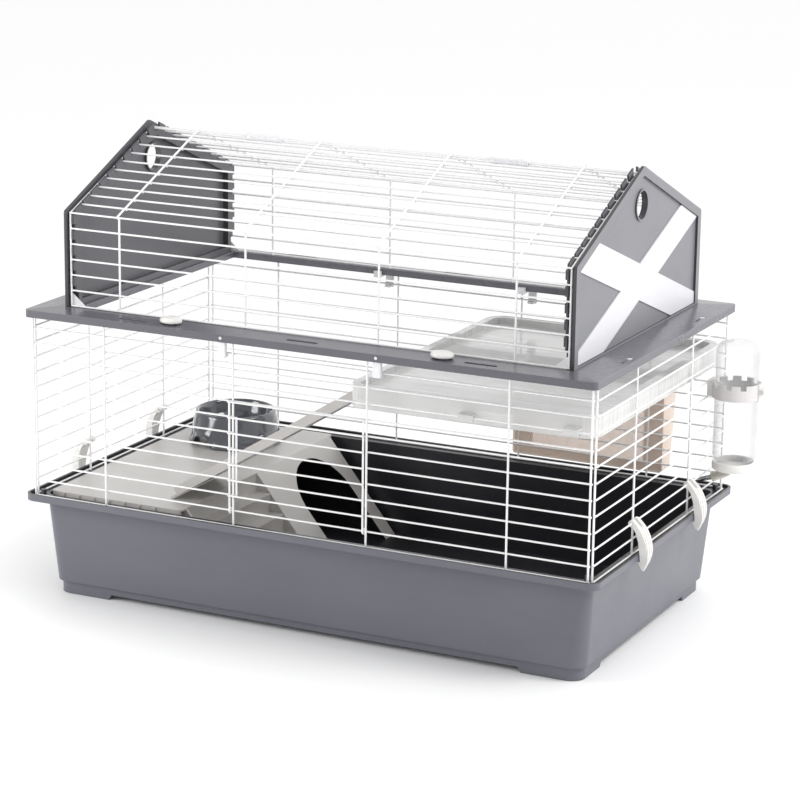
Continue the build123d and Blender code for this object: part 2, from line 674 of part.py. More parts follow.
with BuildPart() as hideout:
    with BuildSketch(Plane.XZ.offset(-HIDE_Y)):
        with BuildLine():
            Polyline(
                (HIDE_LEFT, HIDE_FLOOR),
                (HIDE_LEFT, HIDE_TOP),
                (HIDE_EDGE, HIDE_TOP),
                (HIDE_FOOT, HIDE_FLOOR),
                close=True,
            )
        make_face()
    extrude(amount=2 * HIDE_Y)
    with BuildSketch(Plane.XZ.offset(-HIDE_Y + SHEET)):
        with BuildLine():
            Polyline(
                (HIDE_LEFT + SHEET, HIDE_FLOOR),
                (HIDE_LEFT + SHEET, HIDE_TOP - SHEET),
                (HIDE_EDGE - SHEET * tan(HIDE_SLOPE / 2), HIDE_TOP - SHEET),
                (HIDE_FOOT - SHEET / sin(HIDE_SLOPE), HIDE_FLOOR),
                close=True,
            )
        make_face()
    extrude(amount=2 * (HIDE_Y - SHEET), mode=Mode.SUBTRACT)
    # recess for the steps, its end wall, then the steps themselves
    with BuildSketch(Plane.XZ.offset(-STAIR_HIGH_Y)):
        with BuildLine():
            Polyline(
                (HIDE_EDGE, HIDE_TOP + 1),
                (HIDE_EDGE, HIDE_FLOOR),
                (HIDE_FOOT + 1, HIDE_FLOOR),
                (HIDE_FOOT + 1, HIDE_TOP + 1),
                close=True,
            )
        make_face()
    extrude(amount=STAIR_HIGH_Y - STAIR_LOW_Y, mode=Mode.SUBTRACT)
    with BuildSketch(Plane.XZ.offset(-STAIR_HIGH_Y - SHEET)):
        with BuildLine():
            Polyline(
                (HIDE_EDGE - SHEET, HIDE_TOP - 0.5),
                (HIDE_EDGE - SHEET, HIDE_FLOOR),
                (HIDE_FOOT - 2, HIDE_FLOOR),
                (HIDE_EDGE, HIDE_TOP - 2),
                close=True,
            )
        make_face()
    extrude(amount=SHEET)
    with BuildSketch(Plane.XZ.offset(-STAIR_HIGH_Y)):
        for step in range(STEPS):
            riser_x = HIDE_EDGE + step * HIDE_RUN
            tread_z = HIDE_TOP - (step + 1) * HIDE_RISE
            with Locations((riser_x - SHEET / 2, tread_z + HIDE_RISE / 2 - SHEET / 2)):
                Rectangle(SHEET, HIDE_RISE + SHEET)
            if step < STEPS - 1:
                with Locations((riser_x + HIDE_RUN / 2 - SHEET / 2, tread_z - SHEET / 2)):
                    Rectangle(HIDE_RUN + SHEET, SHEET)
    extrude(amount=STAIR_HIGH_Y - STAIR_LOW_Y)
    with BuildSketch(
        Plane(
            origin=(HIDE_FOOT, DOORWAY_Y, HIDE_FLOOR),
            x_dir=(0, 1, 0),
            z_dir=(sin(HIDE_SLOPE), 0, cos(HIDE_SLOPE)),
        )
    ):
        with Locations((0, DOORWAY_CENTRE)):
            Circle(DOORWAY_R)
        with Locations((0, DOORWAY_CENTRE / 2 - 10)):
            Rectangle(2 * DOORWAY_R, DOORWAY_CENTRE + 20)
    extrude(amount=-3 * SHEET, both=True, mode=Mode.SUBTRACT)
    with BuildSketch(Plane.XY.offset(HIDE_FLOOR)):
        RectangleRounded(2 * (PLINTH_X - WALL - 2), 2 * (PLINTH_Y - WALL - 2), PLINTH_CORNER - WALL - 2)
    extrude(amount=HIDE_TOP - HIDE_FLOOR, mode=Mode.INTERSECT)
    # the roof reaches out over the ledge, with a lip turned down at its edge
    with BuildSketch(Plane.XY.offset(HIDE_TOP - SHEET)):
        with Locations(((BRIM_X + HIDE_EDGE) / 2, 0)):
            RectangleRounded(HIDE_EDGE - BRIM_X, 2 * BRIM_Y, 8)
    extrude(amount=SHEET)
    with BuildSketch(Plane.XY.offset(BRIM_LOW)):
        with Locations(((BRIM_X + HIDE_EDGE) / 2, 0)):
            RectangleRounded(HIDE_EDGE - BRIM_X, 2 * BRIM_Y, 8)
            RectangleRounded(HIDE_EDGE - BRIM_X - 2 * SHEET, 2 * (BRIM_Y - SHEET), 5, mode=Mode.SUBTRACT)
        with Locations((HIDE_EDGE, 0)):
            Rectangle(2 * SHEET + 1, 2 * (BRIM_Y - SHEET), mode=Mode.SUBTRACT)
    extrude(amount=HIDE_TOP - SHEET - BRIM_LOW)
    with BuildSketch(Plane.XY.offset(BRIM_LOW)):
        with Locations(*[(BRIM_X + 24 + 27 * fin, -BRIM_Y - 1) for fin in range(7)]):
            Rectangle(2.4, 3)
    extrude(amount=HIDE_TOP - 1 - BRIM_LOW)
write(hideout.part, "hideout")

# ----------------------------------------------------------- ramp and platform
RAMP_LOW_X = -258.5
RAMP_LOW_Z = 163.6
RAMP_HIGH_X = 63.5
RAMP_HIGH_Z = 365.0
RAMP_FRONT = -203.0
RAMP_WIDTH = 132.0
RAMP_EDGE = 14.0
RAMP_LENGTH = hypot(RAMP_HIGH_X - RAMP_LOW_X, RAMP_HIGH_Z - RAMP_LOW_Z)
RAMP_SLOPE = atan2(RAMP_HIGH_Z - RAMP_LOW_Z, RAMP_HIGH_X - RAMP_LOW_X)
ramp_plane = Plane(
    origin=(RAMP_LOW_X, RAMP_FRONT + RAMP_WIDTH / 2, RAMP_LOW_Z),
    x_dir=(cos(RAMP_SLOPE), 0, sin(RAMP_SLOPE)),
    z_dir=(-sin(RAMP_SLOPE), 0, cos(RAMP_SLOPE)),
)
with BuildPart() as ramp:
    with BuildSketch(ramp_plane):
        with Locations((RAMP_LENGTH / 2, 0)):
            Rectangle(RAMP_LENGTH, RAMP_WIDTH)
    extrude(amount=SHEET)
    with BuildSketch(ramp_plane):
        for hand in (-1, 1):
            with Locations((RAMP_LENGTH / 2 + 6, hand * (RAMP_WIDTH - SHEET) / 2)):
                Rectangle(RAMP_LENGTH - 12, SHEET)
    extrude(amount=RAMP_EDGE)
    with BuildSketch(ramp_plane.offset(SHEET)):
        for tread in range(10):
            with Locations((30 + tread * 34, 0)):
                Rectangle(4, RAMP_WIDTH - 12)
    extrude(amount=2.5)
write(ramp.part, "ramp")

PLATFORM_MID = (PLATFORM_LEFT + PLATFORM_RIGHT) / 2
PLATFORM_WIDTH = PLATFORM_RIGHT - PLATFORM_LEFT
TRAY_FLOOR = 384.0
TRAY_RIM = 12.5
TRAY_HOOK_X = (265.0, 425.0)
SKIN = 2.5


def tray_outline(inset):
    with Locations((PLATFORM_MID, 0)):
        RectangleRounded(PLATFORM_WIDTH - 2 * inset, 2 * (PLATFORM_Y - inset), 30 - inset)


with BuildPart() as platform:
    with BuildSketch(Plane.XY.offset(PLATFORM_BOTTOM)):
        tray_outline(0)
    extrude(amount=PLATFORM_TOP - PLATFORM_BOTTOM)
    with BuildSketch(Plane.XY.offset(PLATFORM_BOTTOM)):
        tray_outline(SKIN)
    extrude(amount=TRAY_FLOOR - PLATFORM_BOTTOM, mode=Mode.SUBTRACT)
    with BuildSketch(Plane.XY.offset(TRAY_FLOOR)):
        tray_outline(SKIN)
        with Locations((PLATFORM_MID, 0)):
            inner = TRAY_RIM - SKIN
            RectangleRounded(
                PLATFORM_WIDTH - 2 * inner, 2 * (PLATFORM_Y - inner), 30 - inner, mode=Mode.SUBTRACT
            )
    extrude(amount=PLATFORM_TOP - SKIN - TRAY_FLOOR, mode=Mode.SUBTRACT)
    with BuildSketch(Plane.XY.offset(TRAY_FLOOR + SHEET)):
        tray_outline(TRAY_RIM)
    extrude(amount=PLATFORM_TOP - TRAY_FLOOR, mode=Mode.SUBTRACT)
    # hooks over a level wire of the long panels
    hook_z = WIRE_LOW + 9 * PITCH + THIN + GAP
    hook_y = CAGE_Y + THIN + GAP
    for face in (-1, 1):
        with BuildSketch(Plane.XY.offset(hook_z)):
            with Locations(*[(x, face * (PLATFORM_Y - 1 + hook_y + SKIN) / 2) for x in TRAY_HOOK_X]):
                Rectangle(24, hook_y + SKIN - PLATFORM_Y + 1)
        extrude(amount=SKIN)
        with BuildSketch(Plane.XY.offset(hook_z - 7)):
            with Locations(*[(x, face * (hook_y + SKIN / 2)) for x in TRAY_HOOK_X]):
                Rectangle(24, SKIN)
        extrude(amount=7)
write(platform.part, "upper_platform")

# ----------------------------------------------------------------------- bowl
BOWL_LOW = HIDE_TOP + 0.3
BOWL_FLOOR = BOWL_LOW + 20
BOWL_TOP = BOWL_LOW + 53
BOWL_ARCHES = (-20, 70)   # directions of the cut-outs between its feet
with BuildPart() as bowl:
    with BuildSketch(Plane(origin=(BOWL_X, BOWL_Y, 0), x_dir=(1, 0, 0), z_dir=(0, -1, 0))):
        with BuildLine():
            Polyline(
                (0, BOWL_FLOOR),
                (66, BOWL_FLOOR),
                (73, BOWL_LOW),
                (77, BOWL_LOW),
                (71.5, BOWL_FLOOR),
                (67, BOWL_TOP - 6),
                (64, BOWL_TOP),
                (60, BOWL_TOP),
                (51, BOWL_FLOOR + 3),
                (0, BOWL_FLOOR + 3),
                close=True,
            )
        make_face()
    revolve(axis=Axis((BOWL_X, BOWL_Y, 0), (0, 0, 1)))
    for angle in BOWL_ARCHES:
        arch_dir = (cos(radians(angle)), sin(radians(angle)), 0)
        side_dir = (-sin(radians(angle)), cos(radians(angle)), 0)
        with BuildSketch(Plane(origin=(BOWL_X, BOWL_Y, BOWL_LOW), x_dir=side_dir, z_dir=arch_dir)):
            Ellipse(23, 18)
        extrude(amount=90, both=True, mode=Mode.SUBTRACT)
write(bowl.part, "feed_bowl")

# ------------------------------------------------------------------- hay rack
RACK_LEFT = 98.0
RACK_RIGHT = 357.0
RACK_LOW = 166.5
RACK_TOP = 299.0
RACK_FRONT = 276.0
RACK_HOOK_X = (140.0, 316.0)
with BuildPart() as rack:
    with BuildSketch(Plane.YZ.offset(RACK_LEFT)):
        with BuildLine():
            Polyline(
                (RACK_FRONT, RACK_LOW), (316, RACK_LOW), (338, RACK_TOP), (RACK_FRONT, RACK_TOP), close=True
            )
        make_face()
    extrude(amount=RACK_RIGHT - RACK_LEFT)
    with BuildSketch(Plane.YZ.offset(RACK_LEFT + SKIN)):
        with BuildLine():
            Polyline(
                (RACK_FRONT + SKIN, RACK_LOW + SKIN),
                (314, RACK_LOW + SKIN),
                (336, RACK_TOP + 1),
                (RACK_FRONT + SKIN, RACK_TOP + 1),
                close=True,
            )
        make_face()
    extrude(amount=RACK_RIGHT - RACK_LEFT - 2 * SKIN, mode=Mode.SUBTRACT)
    # the side towards the cage is open between its top and bottom bars
    with BuildSketch(Plane.XZ.offset(-RACK_FRONT - SKIN - 1)):
        with Locations(((RACK_LEFT + RACK_RIGHT) / 2, (RACK_LOW + RACK_TOP) / 2 + 3)):
            Rectangle(RACK_RIGHT - RACK_LEFT - 4 * SKIN, RACK_TOP - RACK_LOW - 26)
    extrude(amount=SKIN + 2, mode=Mode.SUBTRACT)
write(rack.part, "hay_rack")

RACK_WIRE_Z = WIRE_LOW + 6 * PITCH
with BuildPart() as rack_hooks:
    bridge_z = RACK_WIRE_Z + THIN + GAP
    inner_y = CAGE_Y - THIN - GAP
    for x in RACK_HOOK_X:
        with BuildSketch(Plane.YZ.offset(x - 9)):
            with BuildLine():
                Polyline(
                    (RACK_FRONT, RACK_TOP),
                    (RACK_FRONT + SKIN, RACK_TOP),
                    (RACK_FRONT + SKIN, bridge_z + SKIN),
                    (inner_y - SKIN, bridge_z + SKIN),
                    (inner_y - SKIN, bridge_z - 9),
                    (inner_y, bridge_z - 9),
                    (inner_y, bridge_z),
                    (RACK_FRONT, bridge_z),
                    close=True,
                )
            make_face()
        extrude(amount=18)
write(rack_hooks.part, "hay_rack_hooks")

# --------------------------------------------------------------- water bottle
RING_LOW = 333.0
RING_HIGH = 357.0
BOTTLE_R = 34.0
BOTTLE_TOP = 421.0
CAP_LOW = 219.0
CAP_HIGH = 233.0
bottle_axis = Plane(origin=(BOTTLE_X, BOTTLE_Y, 0), x_dir=(1, 0, 0), z_dir=(0, -1, 0))

with BuildPart() as holder:
    with BuildSketch(Plane.XY.offset(RING_LOW)):
        with Locations((BOTTLE_X, BOTTLE_Y)):
            Circle(BOTTLE_R + 3.2)
        with Locations(((CAGE_X + THIN + GAP + BOTTLE_X - BOTTLE_R) / 2, BOTTLE_Y)):
            Rectangle(BOTTLE_X - BOTTLE_R - CAGE_X - THIN - GAP, 26)
        with Locations((BOTTLE_X + BOTTLE_R + 6, BOTTLE_Y)):
            Rectangle(10, 16)
        with Locations((BOTTLE_X, BOTTLE_Y)):
            Circle(BOTTLE_R + 0.4, mode=Mode.SUBTRACT)
    extrude(amount=RING_HIGH - RING_LOW)
    # castellated upper edge, and a shorter thumb tab
    with BuildSketch(Plane.XY.offset(RING_HIGH - 7)):
        with Locations((BOTTLE_X, BOTTLE_Y)):
            with PolarLocations(BOTTLE_R + 2, 9, 20, 320):
                Rectangle(8, 9)
        with Locations((BOTTLE_X + BOTTLE_R + 8.5, BOTTLE_Y)):
            Rectangle(9, 20)
    extrude(amount=12, mode=Mode.SUBTRACT)
    with BuildSketch(Plane.XY.offset(RING_LOW)):
        with Locations((BOTTLE_X + BOTTLE_R + 9, BOTTLE_Y)):
            Rectangle(10, 20)
    extrude(amount=10, mode=Mode.SUBTRACT)
write(holder.part, "bottle_holder")

with BuildPart() as bottle:
    with BuildSketch(bottle_axis):
        with BuildLine():
            Polyline(
                (0, BOTTLE_TOP),
                (24, BOTTLE_TOP),
                (31, BOTTLE_TOP - 4),
                (BOTTLE_R, BOTTLE_TOP - 12),
                (BOTTLE_R, CAP_HIGH + 4),
                (28.6, CAP_HIGH),
                (28.6, CAP_LOW + 5),
                (27, CAP_LOW + 5),
                (27, CAP_HIGH),
                (BOTTLE_R - 1.6, CAP_HIGH + 5),
                (BOTTLE_R - 1.6, BOTTLE_TOP - 13),
                (30, BOTTLE_TOP - 5.5),
                (24, BOTTLE_TOP - 1.8),
                (0, BOTTLE_TOP - 1.8),
                close=True,
            )
        make_face()
    revolve(axis=Axis((BOTTLE_X, BOTTLE_Y, 0), (0, 0, 1)))
write(bottle.part, "water_bottle")

SPOUT_BEND_Z = CAP_LOW - 7
SPOUT_TIP_Z = 190.0
SPOUT_X = BOTTLE_X - 6
SPOUT_R = 4.0
SPOUT_BORE = 2.9
SPOUT_TIP = 440.0
with BuildPart() as cap:
    with BuildSketch(Plane.XY.offset(CAP_LOW)):
        with Locations((BOTTLE_X, BOTTLE_Y)):
            Circle(33.6)
    extrude(amount=CAP_HIGH - CAP_LOW)
    with BuildSketch(Plane.XY.offset(CAP_LOW + 3)):
        with Locations((BOTTLE_X, BOTTLE_Y)):
            Circle(28.9)
    extrude(amount=CAP_HIGH - CAP_LOW, mode=Mode.SUBTRACT)
    # finger grooves
    with BuildSketch(Plane.XY.offset(CAP_LOW + 4)):
        with Locations((BOTTLE_X, BOTTLE_Y)):
            with PolarLocations(34.4, 30):
                Circle(1.5)
    extrude(amount=CAP_HIGH - CAP_LOW - 5, mode=Mode.SUBTRACT)
    # hole of the spout
    with BuildSketch(Plane.XY.offset(CAP_LOW)):
        with Locations((SPOUT_X, BOTTLE_Y)):
            Circle(SPOUT_R)
    extrude(amount=4, mode=Mode.SUBTRACT)
write(cap.part, "bottle_cap")

with BuildPart() as spout:
    with BuildLine():
        route = FilletPolyline(
            (SPOUT_X, BOTTLE_Y, CAP_LOW + 3),
            (SPOUT_X, BOTTLE_Y, SPOUT_BEND_Z),
            (SPOUT_TIP, BOTTLE_Y, SPOUT_TIP_Z),
            radius=6,
        )
    with BuildSketch(Plane(origin=route @ 0, z_dir=route % 0)):
        Circle(SPOUT_R)
        Circle(SPOUT_BORE, mode=Mode.SUBTRACT)
    sweep()
write(spout.part, "drinking_spout")
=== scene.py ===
from math import atan2, cos, pi, radians, sin

import bmesh
import bpy
from mathutils import Matrix, Vector


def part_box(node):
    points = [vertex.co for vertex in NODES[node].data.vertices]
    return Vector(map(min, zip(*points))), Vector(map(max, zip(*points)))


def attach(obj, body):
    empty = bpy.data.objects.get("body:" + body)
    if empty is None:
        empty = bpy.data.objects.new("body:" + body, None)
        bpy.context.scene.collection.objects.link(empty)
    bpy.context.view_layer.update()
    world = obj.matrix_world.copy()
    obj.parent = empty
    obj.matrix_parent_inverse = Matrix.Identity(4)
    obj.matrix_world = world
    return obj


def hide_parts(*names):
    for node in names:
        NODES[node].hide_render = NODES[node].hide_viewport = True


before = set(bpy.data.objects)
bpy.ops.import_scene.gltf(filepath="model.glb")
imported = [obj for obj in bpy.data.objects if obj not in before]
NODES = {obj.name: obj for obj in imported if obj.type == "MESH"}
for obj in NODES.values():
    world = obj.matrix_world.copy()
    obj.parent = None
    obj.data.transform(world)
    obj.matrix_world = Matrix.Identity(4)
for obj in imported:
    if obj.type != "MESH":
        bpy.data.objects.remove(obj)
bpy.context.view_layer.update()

# ------------------------------------------------------------------ camera
AZIMUTH = radians(25.92)
ELEVATION = radians(14.63)
ROLL = radians(0.73)
CAMERA_PLACE = (1.88784, -3.82533, 1.41970)
FOCAL_MM = 128.79
SENSOR_MM = 36.0

back = Vector((sin(AZIMUTH) * cos(ELEVATION), -cos(AZIMUTH) * cos(ELEVATION), sin(ELEVATION)))
right = Vector((cos(AZIMUTH), sin(AZIMUTH), 0.0))
up = back.cross(right)
tilted_right = right * cos(ROLL) + up * sin(ROLL)
tilted_up = up * cos(ROLL) - right * sin(ROLL)
turn = Matrix((tilted_right, tilted_up, back)).transposed().to_4x4()
camera_data = bpy.data.cameras.new("camera")
camera_data.sensor_width = SENSOR_MM
camera_data.lens = FOCAL_MM
camera_data.clip_end = 50.0
camera = bpy.data.objects.new("camera", camera_data)
bpy.context.collection.objects.link(camera)
camera.matrix_world = Matrix.Translation(CAMERA_PLACE) @ turn
bpy.context.scene.camera = camera


# --------------------------------------------------------------- materials
def linear(hex_colour):
    """sRGB hex to a linear RGBA colour."""
    channels = [int(hex_colour[i : i + 2], 16) / 255 for i in (0, 2, 4)]
    return tuple(c / 12.92 if c <= 0.04045 else ((c + 0.055) / 1.055) ** 2.4 for c in channels) + (1.0,)


def shaded(colour, factor, lift=0.0):
    """A linear colour made darker or lighter."""
    return tuple(min(1.0, c * factor + lift) for c in colour[:3]) + (1.0,)


def new_material(name):
    """A node material, its tree and its shader."""
    material = bpy.data.materials.new(name)
    material.use_nodes = True
    tree = material.node_tree
    return material, tree, tree.nodes["Principled BSDF"]


def add(tree, kind, inputs=None, **settings):
    """Adds one node; values and links are given by input name or number."""
    node = tree.nodes.new("ShaderNode" + kind)
    for key, value in settings.items():
        setattr(node, key, value)
    for key, value in (inputs or {}).items():
        socket = node.inputs[key]
        if isinstance(value, bpy.types.NodeSocket):
            tree.links.new(value, socket)
        else:
            socket.default_value = value
    return node


def noise(tree, scale, detail=3.0, stretch=(1, 1, 1), roughness=0.55):
    """Cloudy value fixed to the object, stretched along its axes."""
    place = add(tree, "TexCoord").outputs["Object"]
    scaled = add(tree, "Mapping", {"Vector": place, "Scale": stretch})
    settings = {"Vector": scaled.outputs[0], "Scale": scale, "Detail": detail, "Roughness": roughness}
    return add(tree, "TexNoise", settings).outputs["Fac"]


def spread(tree, value, low, high, start=0.3, end=0.7):
    """Maps a value from start..end to low..high."""
    settings = {"Value": value, "From Min": start, "From Max": end, "To Min": low, "To Max": high}
    return add(tree, "MapRange", settings).outputs[0]


def blend(tree, factor, first, second, mode="MIX"):
    """Mixes two colours."""
    node = add(tree, "Mix", data_type="RGBA", blend_type=mode)
    for key, value in ((0, factor), (6, first), (7, second)):
        if isinstance(value, bpy.types.NodeSocket):
            tree.links.new(value, node.inputs[key])
        else:
            node.inputs[key].default_value = value
    return node.outputs[2]


def math(tree, operation, first, second=0.0, clamp=False):
    """One sum on shader values."""
    node = add(tree, "Math", {0: first, 1: second}, operation=operation, use_clamp=clamp)
    return node.outputs[0]


def plastic(
    name, colour, roughness=0.38, relief=0.0001, edge=0.0012, coat=0.0, mottle=0.05, highlight_strength=0.9, highlight_gain=1.25
):
    """Moulded plastic: fine grain, faint flow mottling, rounded edges lightened by a painted highlight."""
    material, tree, shader = new_material(name)
    base = linear(colour)
    flow = spread(tree, noise(tree, 5.0, 3.0, (1, 1, 2.5)), 0.0, 1.0)
    body = blend(tree, flow, shaded(base, 1 - mottle), shaded(base, 1 + mottle))
    fine = noise(tree, 420.0, 2.0)
    specks = spread(tree, noise(tree, 900.0, 1.0), 0.97, 1.02, 0.35, 0.65)
    grey_specks = add(tree, "CombineColor", {0: specks, 1: specks, 2: specks}).outputs[0]
    body = blend(tree, 1.0, body, grey_specks, "MULTIPLY")
    rounded = add(tree, "Bevel", {"Radius": edge}, samples=4).outputs[0]
    flat = add(tree, "NewGeometry").outputs["Normal"]
    bend = add(tree, "VectorMath", {0: rounded, 1: flat}, operation="DOT_PRODUCT").outputs["Value"]
    # painted highlight: the rounded edges blend towards a lighter copy of the colour
    highlight_mask = math(tree, "MULTIPLY", math(tree, "SUBTRACT", 1.0, bend, clamp=True), highlight_strength, clamp=True)
    body = blend(tree, highlight_mask, body, shaded(base, highlight_gain, 0.02))
    tree.links.new(body, shader.inputs["Base Color"])
    smear = spread(tree, noise(tree, 9.0, 3.0), roughness - 0.04, roughness + 0.05)
    tree.links.new(smear, shader.inputs["Roughness"])
    bump = add(tree, "Bump", {"Height": fine, "Normal": rounded, "Strength": 0.6, "Distance": relief})
    tree.links.new(bump.outputs[0], shader.inputs["Normal"])
    shader.inputs["Coat Weight"].default_value = coat
    shader.inputs["Coat Roughness"].default_value = 0.12
    return material


def painted_shade_tone(material, choose, low, high, low_roughness=None):
    """Paints shade on part of a plastic, picked by choose, as another mottled colour and gloss."""
    tree = material.node_tree
    shader = tree.nodes["Principled BSDF"]
    outside = shader.inputs["Base Color"].links[0].from_socket
    place = add(tree, "SeparateXYZ", {0: add(tree, "TexCoord").outputs["Object"]}).outputs
    facing = add(tree, "SeparateXYZ", {0: add(tree, "NewGeometry").outputs["True Normal"]}).outputs
    shade_mask = choose(tree, place, facing)
    other = blend(tree, spread(tree, noise(tree, 5.0, 3.0), 0, 1), linear(low), linear(high))
    tree.links.new(blend(tree, shade_mask, outside, other), shader.inputs["Base Color"])
    if low_roughness is not None:
        satin = shader.inputs["Roughness"].links[0].from_socket
        shine = spread(tree, noise(tree, 3.0, 1.0), low_roughness, low_roughness + 0.015)
        mixed = add(tree, "Mix", {0: shade_mask, 2: satin, 3: shine}, data_type="FLOAT")
        tree.links.new(mixed.outputs[0], shader.inputs["Roughness"])
    return material


# levels that bound the painted shade on the tub's and the hideout's inner faces, in metres
FLOOR_LEVEL = 0.0095
HIDEOUT_MIDDLE = -0.28
HIDEOUT_INNER_Y = 0.2345


def tub_painted_shade(tree, place, facing):
    """Painted shade: the tub's inner faces and its faces that look up, above the floor level, darkened."""
    radial = math(
        tree, "ADD", math(tree, "MULTIPLY", place[0], facing[0]), math(tree, "MULTIPLY", place[1], facing[1])
    )
    inward = math(tree, "LESS_THAN", radial, -0.02)
    within = math(tree, "MAXIMUM", inward, math(tree, "GREATER_THAN", facing[2], 0.6))
    return math(tree, "MULTIPLY", within, math(tree, "GREATER_THAN", place[2], FLOOR_LEVEL))


def hideout_painted_shade(tree, place, facing):
    """Painted shade: the faces of the hideout that look into it or face down, darkened."""
    along = math(tree, "MULTIPLY", math(tree, "SUBTRACT", place[0], HIDEOUT_MIDDLE), facing[0])
    radial = math(tree, "ADD", along, math(tree, "MULTIPLY", place[1], facing[1]))
    downward = math(tree, "LESS_THAN", facing[2], -0.2)
    inward = math(tree, "MAXIMUM", math(tree, "LESS_THAN", radial, -0.1), downward)
    between = math(tree, "LESS_THAN", math(tree, "ABSOLUTE", place[1]), HIDEOUT_INNER_Y)
    return math(tree, "MULTIPLY", inward, between)


def gable_inner_painted_shade(tree, place, facing):
    """Painted shade: the faces of a gable that look into the cage, darkened."""
    sideways = math(tree, "MULTIPLY", place[0], facing[0])
    return math(tree, "LESS_THAN", sideways, -0.2)


def gable_edge_painted_shade(tree, place, facing):
    """Painted shade: the narrow faces round a gable's channel and flanges, darkened."""
    return math(tree, "LESS_THAN", math(tree, "ABSOLUTE", facing[0]), 0.5)


def coated_wire(name, colour="f4f4f4"):
    """White powder-coated wire: a thick glossy skin with slight sags."""
    material, tree, shader = new_material(name)
    base = linear(colour)
    body = blend(tree, spread(tree, noise(tree, 38.0, 3.0), 0, 1), shaded(base, 0.95), base)
    tree.links.new(body, shader.inputs["Base Color"])
    tree.links.new(spread(tree, noise(tree, 160.0, 2.0), 0.2, 0.34), shader.inputs["Roughness"])
    bump = add(tree, "Bump", {"Height": noise(tree, 420.0, 2.0), "Strength": 0.5, "Distance": 0.0002})
    tree.links.new(bump.outputs[0], shader.inputs["Normal"])
    shader.inputs["Coat Weight"].default_value = 0.4
    shader.inputs["Coat Roughness"].default_value = 0.08
    return material


def clear(name, colour, alpha, rim_alpha, roughness=0.06, ripple=60.0, streaks=0.0):
    """Clear moulded plastic: denser where it is seen edge on, with faint ripples and flow lines."""
    material, tree, shader = new_material(name)
    base = linear(colour)
    haze = spread(tree, noise(tree, 8.0, 3.0, (1, 1, 2)), 0, 1)
    tree.links.new(blend(tree, haze, shaded(base, 0.88), base), shader.inputs["Base Color"])
    smear = spread(tree, noise(tree, 26.0, 3.0), roughness, roughness + 0.1)
    tree.links.new(smear, shader.inputs["Roughness"])
    weight = add(tree, "LayerWeight", {"Blend": 0.35}).outputs["Facing"]
    cover = spread(tree, weight, alpha, rim_alpha, 0.1, 0.95)
    if streaks:
        lines = spread(tree, noise(tree, 40.0, 2.0, (0.2, 8, 0.2)), -streaks, streaks)
        cover = math(tree, "ADD", cover, lines, clamp=True)
    tree.links.new(cover, shader.inputs["Alpha"])
    bump = add(tree, "Bump", {"Height": noise(tree, ripple, 2.0), "Strength": 0.3, "Distance": 0.0003})
    tree.links.new(bump.outputs[0], shader.inputs["Normal"])
    shader.inputs["Coat Weight"].default_value = 0.6
    shader.inputs["Coat Roughness"].default_value = 0.04
    return material


def polished_steel():
    """Drawn and polished tube, streaked along its length."""
    material, tree, shader = new_material("polished_tube")
    streak = noise(tree, 40.0, 4.0, (1, 14, 14))
    body = blend(tree, spread(tree, streak, 0, 1), linear("a9abae"), linear("d6d8da"))
    tree.links.new(body, shader.inputs["Base Color"])
    tree.links.new(spread(tree, streak, 0.16, 0.32), shader.inputs["Roughness"])
    shader.inputs["Metallic"].default_value = 1.0
    return material


MATERIALS = {
    # the tub: grey plastic with near-black painted shade on its inner and upward faces
    "tub": painted_shade_tone(
        plastic("tub_moulding", "63646d", 0.33, edge=0.0014, coat=0.1), tub_painted_shade, "28282d", "2d2d32", 0.3
    ),
    # the frame rails get a strong painted highlight along their edges
    "rail": plastic("frame_moulding", "606067", 0.28, edge=0.0016, coat=0.15, highlight_strength=2.2, highlight_gain=2.6),
    # the gables: grey plastic with painted shade on their inner faces and, darker still, on their narrow edge
    # faces
    "gable": painted_shade_tone(
        painted_shade_tone(plastic("gable_moulding", "7b7b80", 0.34, edge=0.0014), gable_inner_painted_shade, "525256", "5b5b60"),
        gable_edge_painted_shade,
        "39393d",
        "424246",
        0.25,
    ),
    "wire": coated_wire("coated_wire"),
    "white": plastic("white_moulding", "e9e9ec", 0.32, edge=0.0008, coat=0.25, mottle=0.02),
    "board": plastic("board_moulding", "d6d6da", 0.3, edge=0.0006, coat=0.2, mottle=0.02),
    # the hideout: light grey plastic with near-black painted shade inside and under it
    "light": painted_shade_tone(
        plastic("light_grey_moulding", "c1bebb", 0.33, edge=0.0015, coat=0.1, mottle=0.03),
        hideout_painted_shade,
        "262628",
        "333335",
    ),
    "ramp": plastic("ramp_moulding", "c4c1be", 0.33, edge=0.0015, coat=0.1, mottle=0.03),
    "ring": plastic("holder_moulding", "d6d3d2", 0.26, edge=0.0008, coat=0.4, mottle=0.03),
    "cream": plastic("cream_moulding", "e9e7e4", 0.3, edge=0.0008, coat=0.3, mottle=0.025),
    "bowl": plastic("bowl_moulding", "4e5056", 0.14, edge=0.001, coat=0.8, mottle=0.05),
    "smoky": clear("smoky_moulding", "e8d3c2", 0.5, 0.85, 0.12),
    "tray": clear("tray_moulding", "e6e6e5", 0.72, 0.93, 0.16, streaks=0.14),
    "clear": clear("clear_moulding", "dfe0e2", 0.05, 0.62, 0.04),
    "elbow": clear("elbow_moulding", "ded9cc", 0.5, 0.9, 0.08),
    "steel": polished_steel(),
}
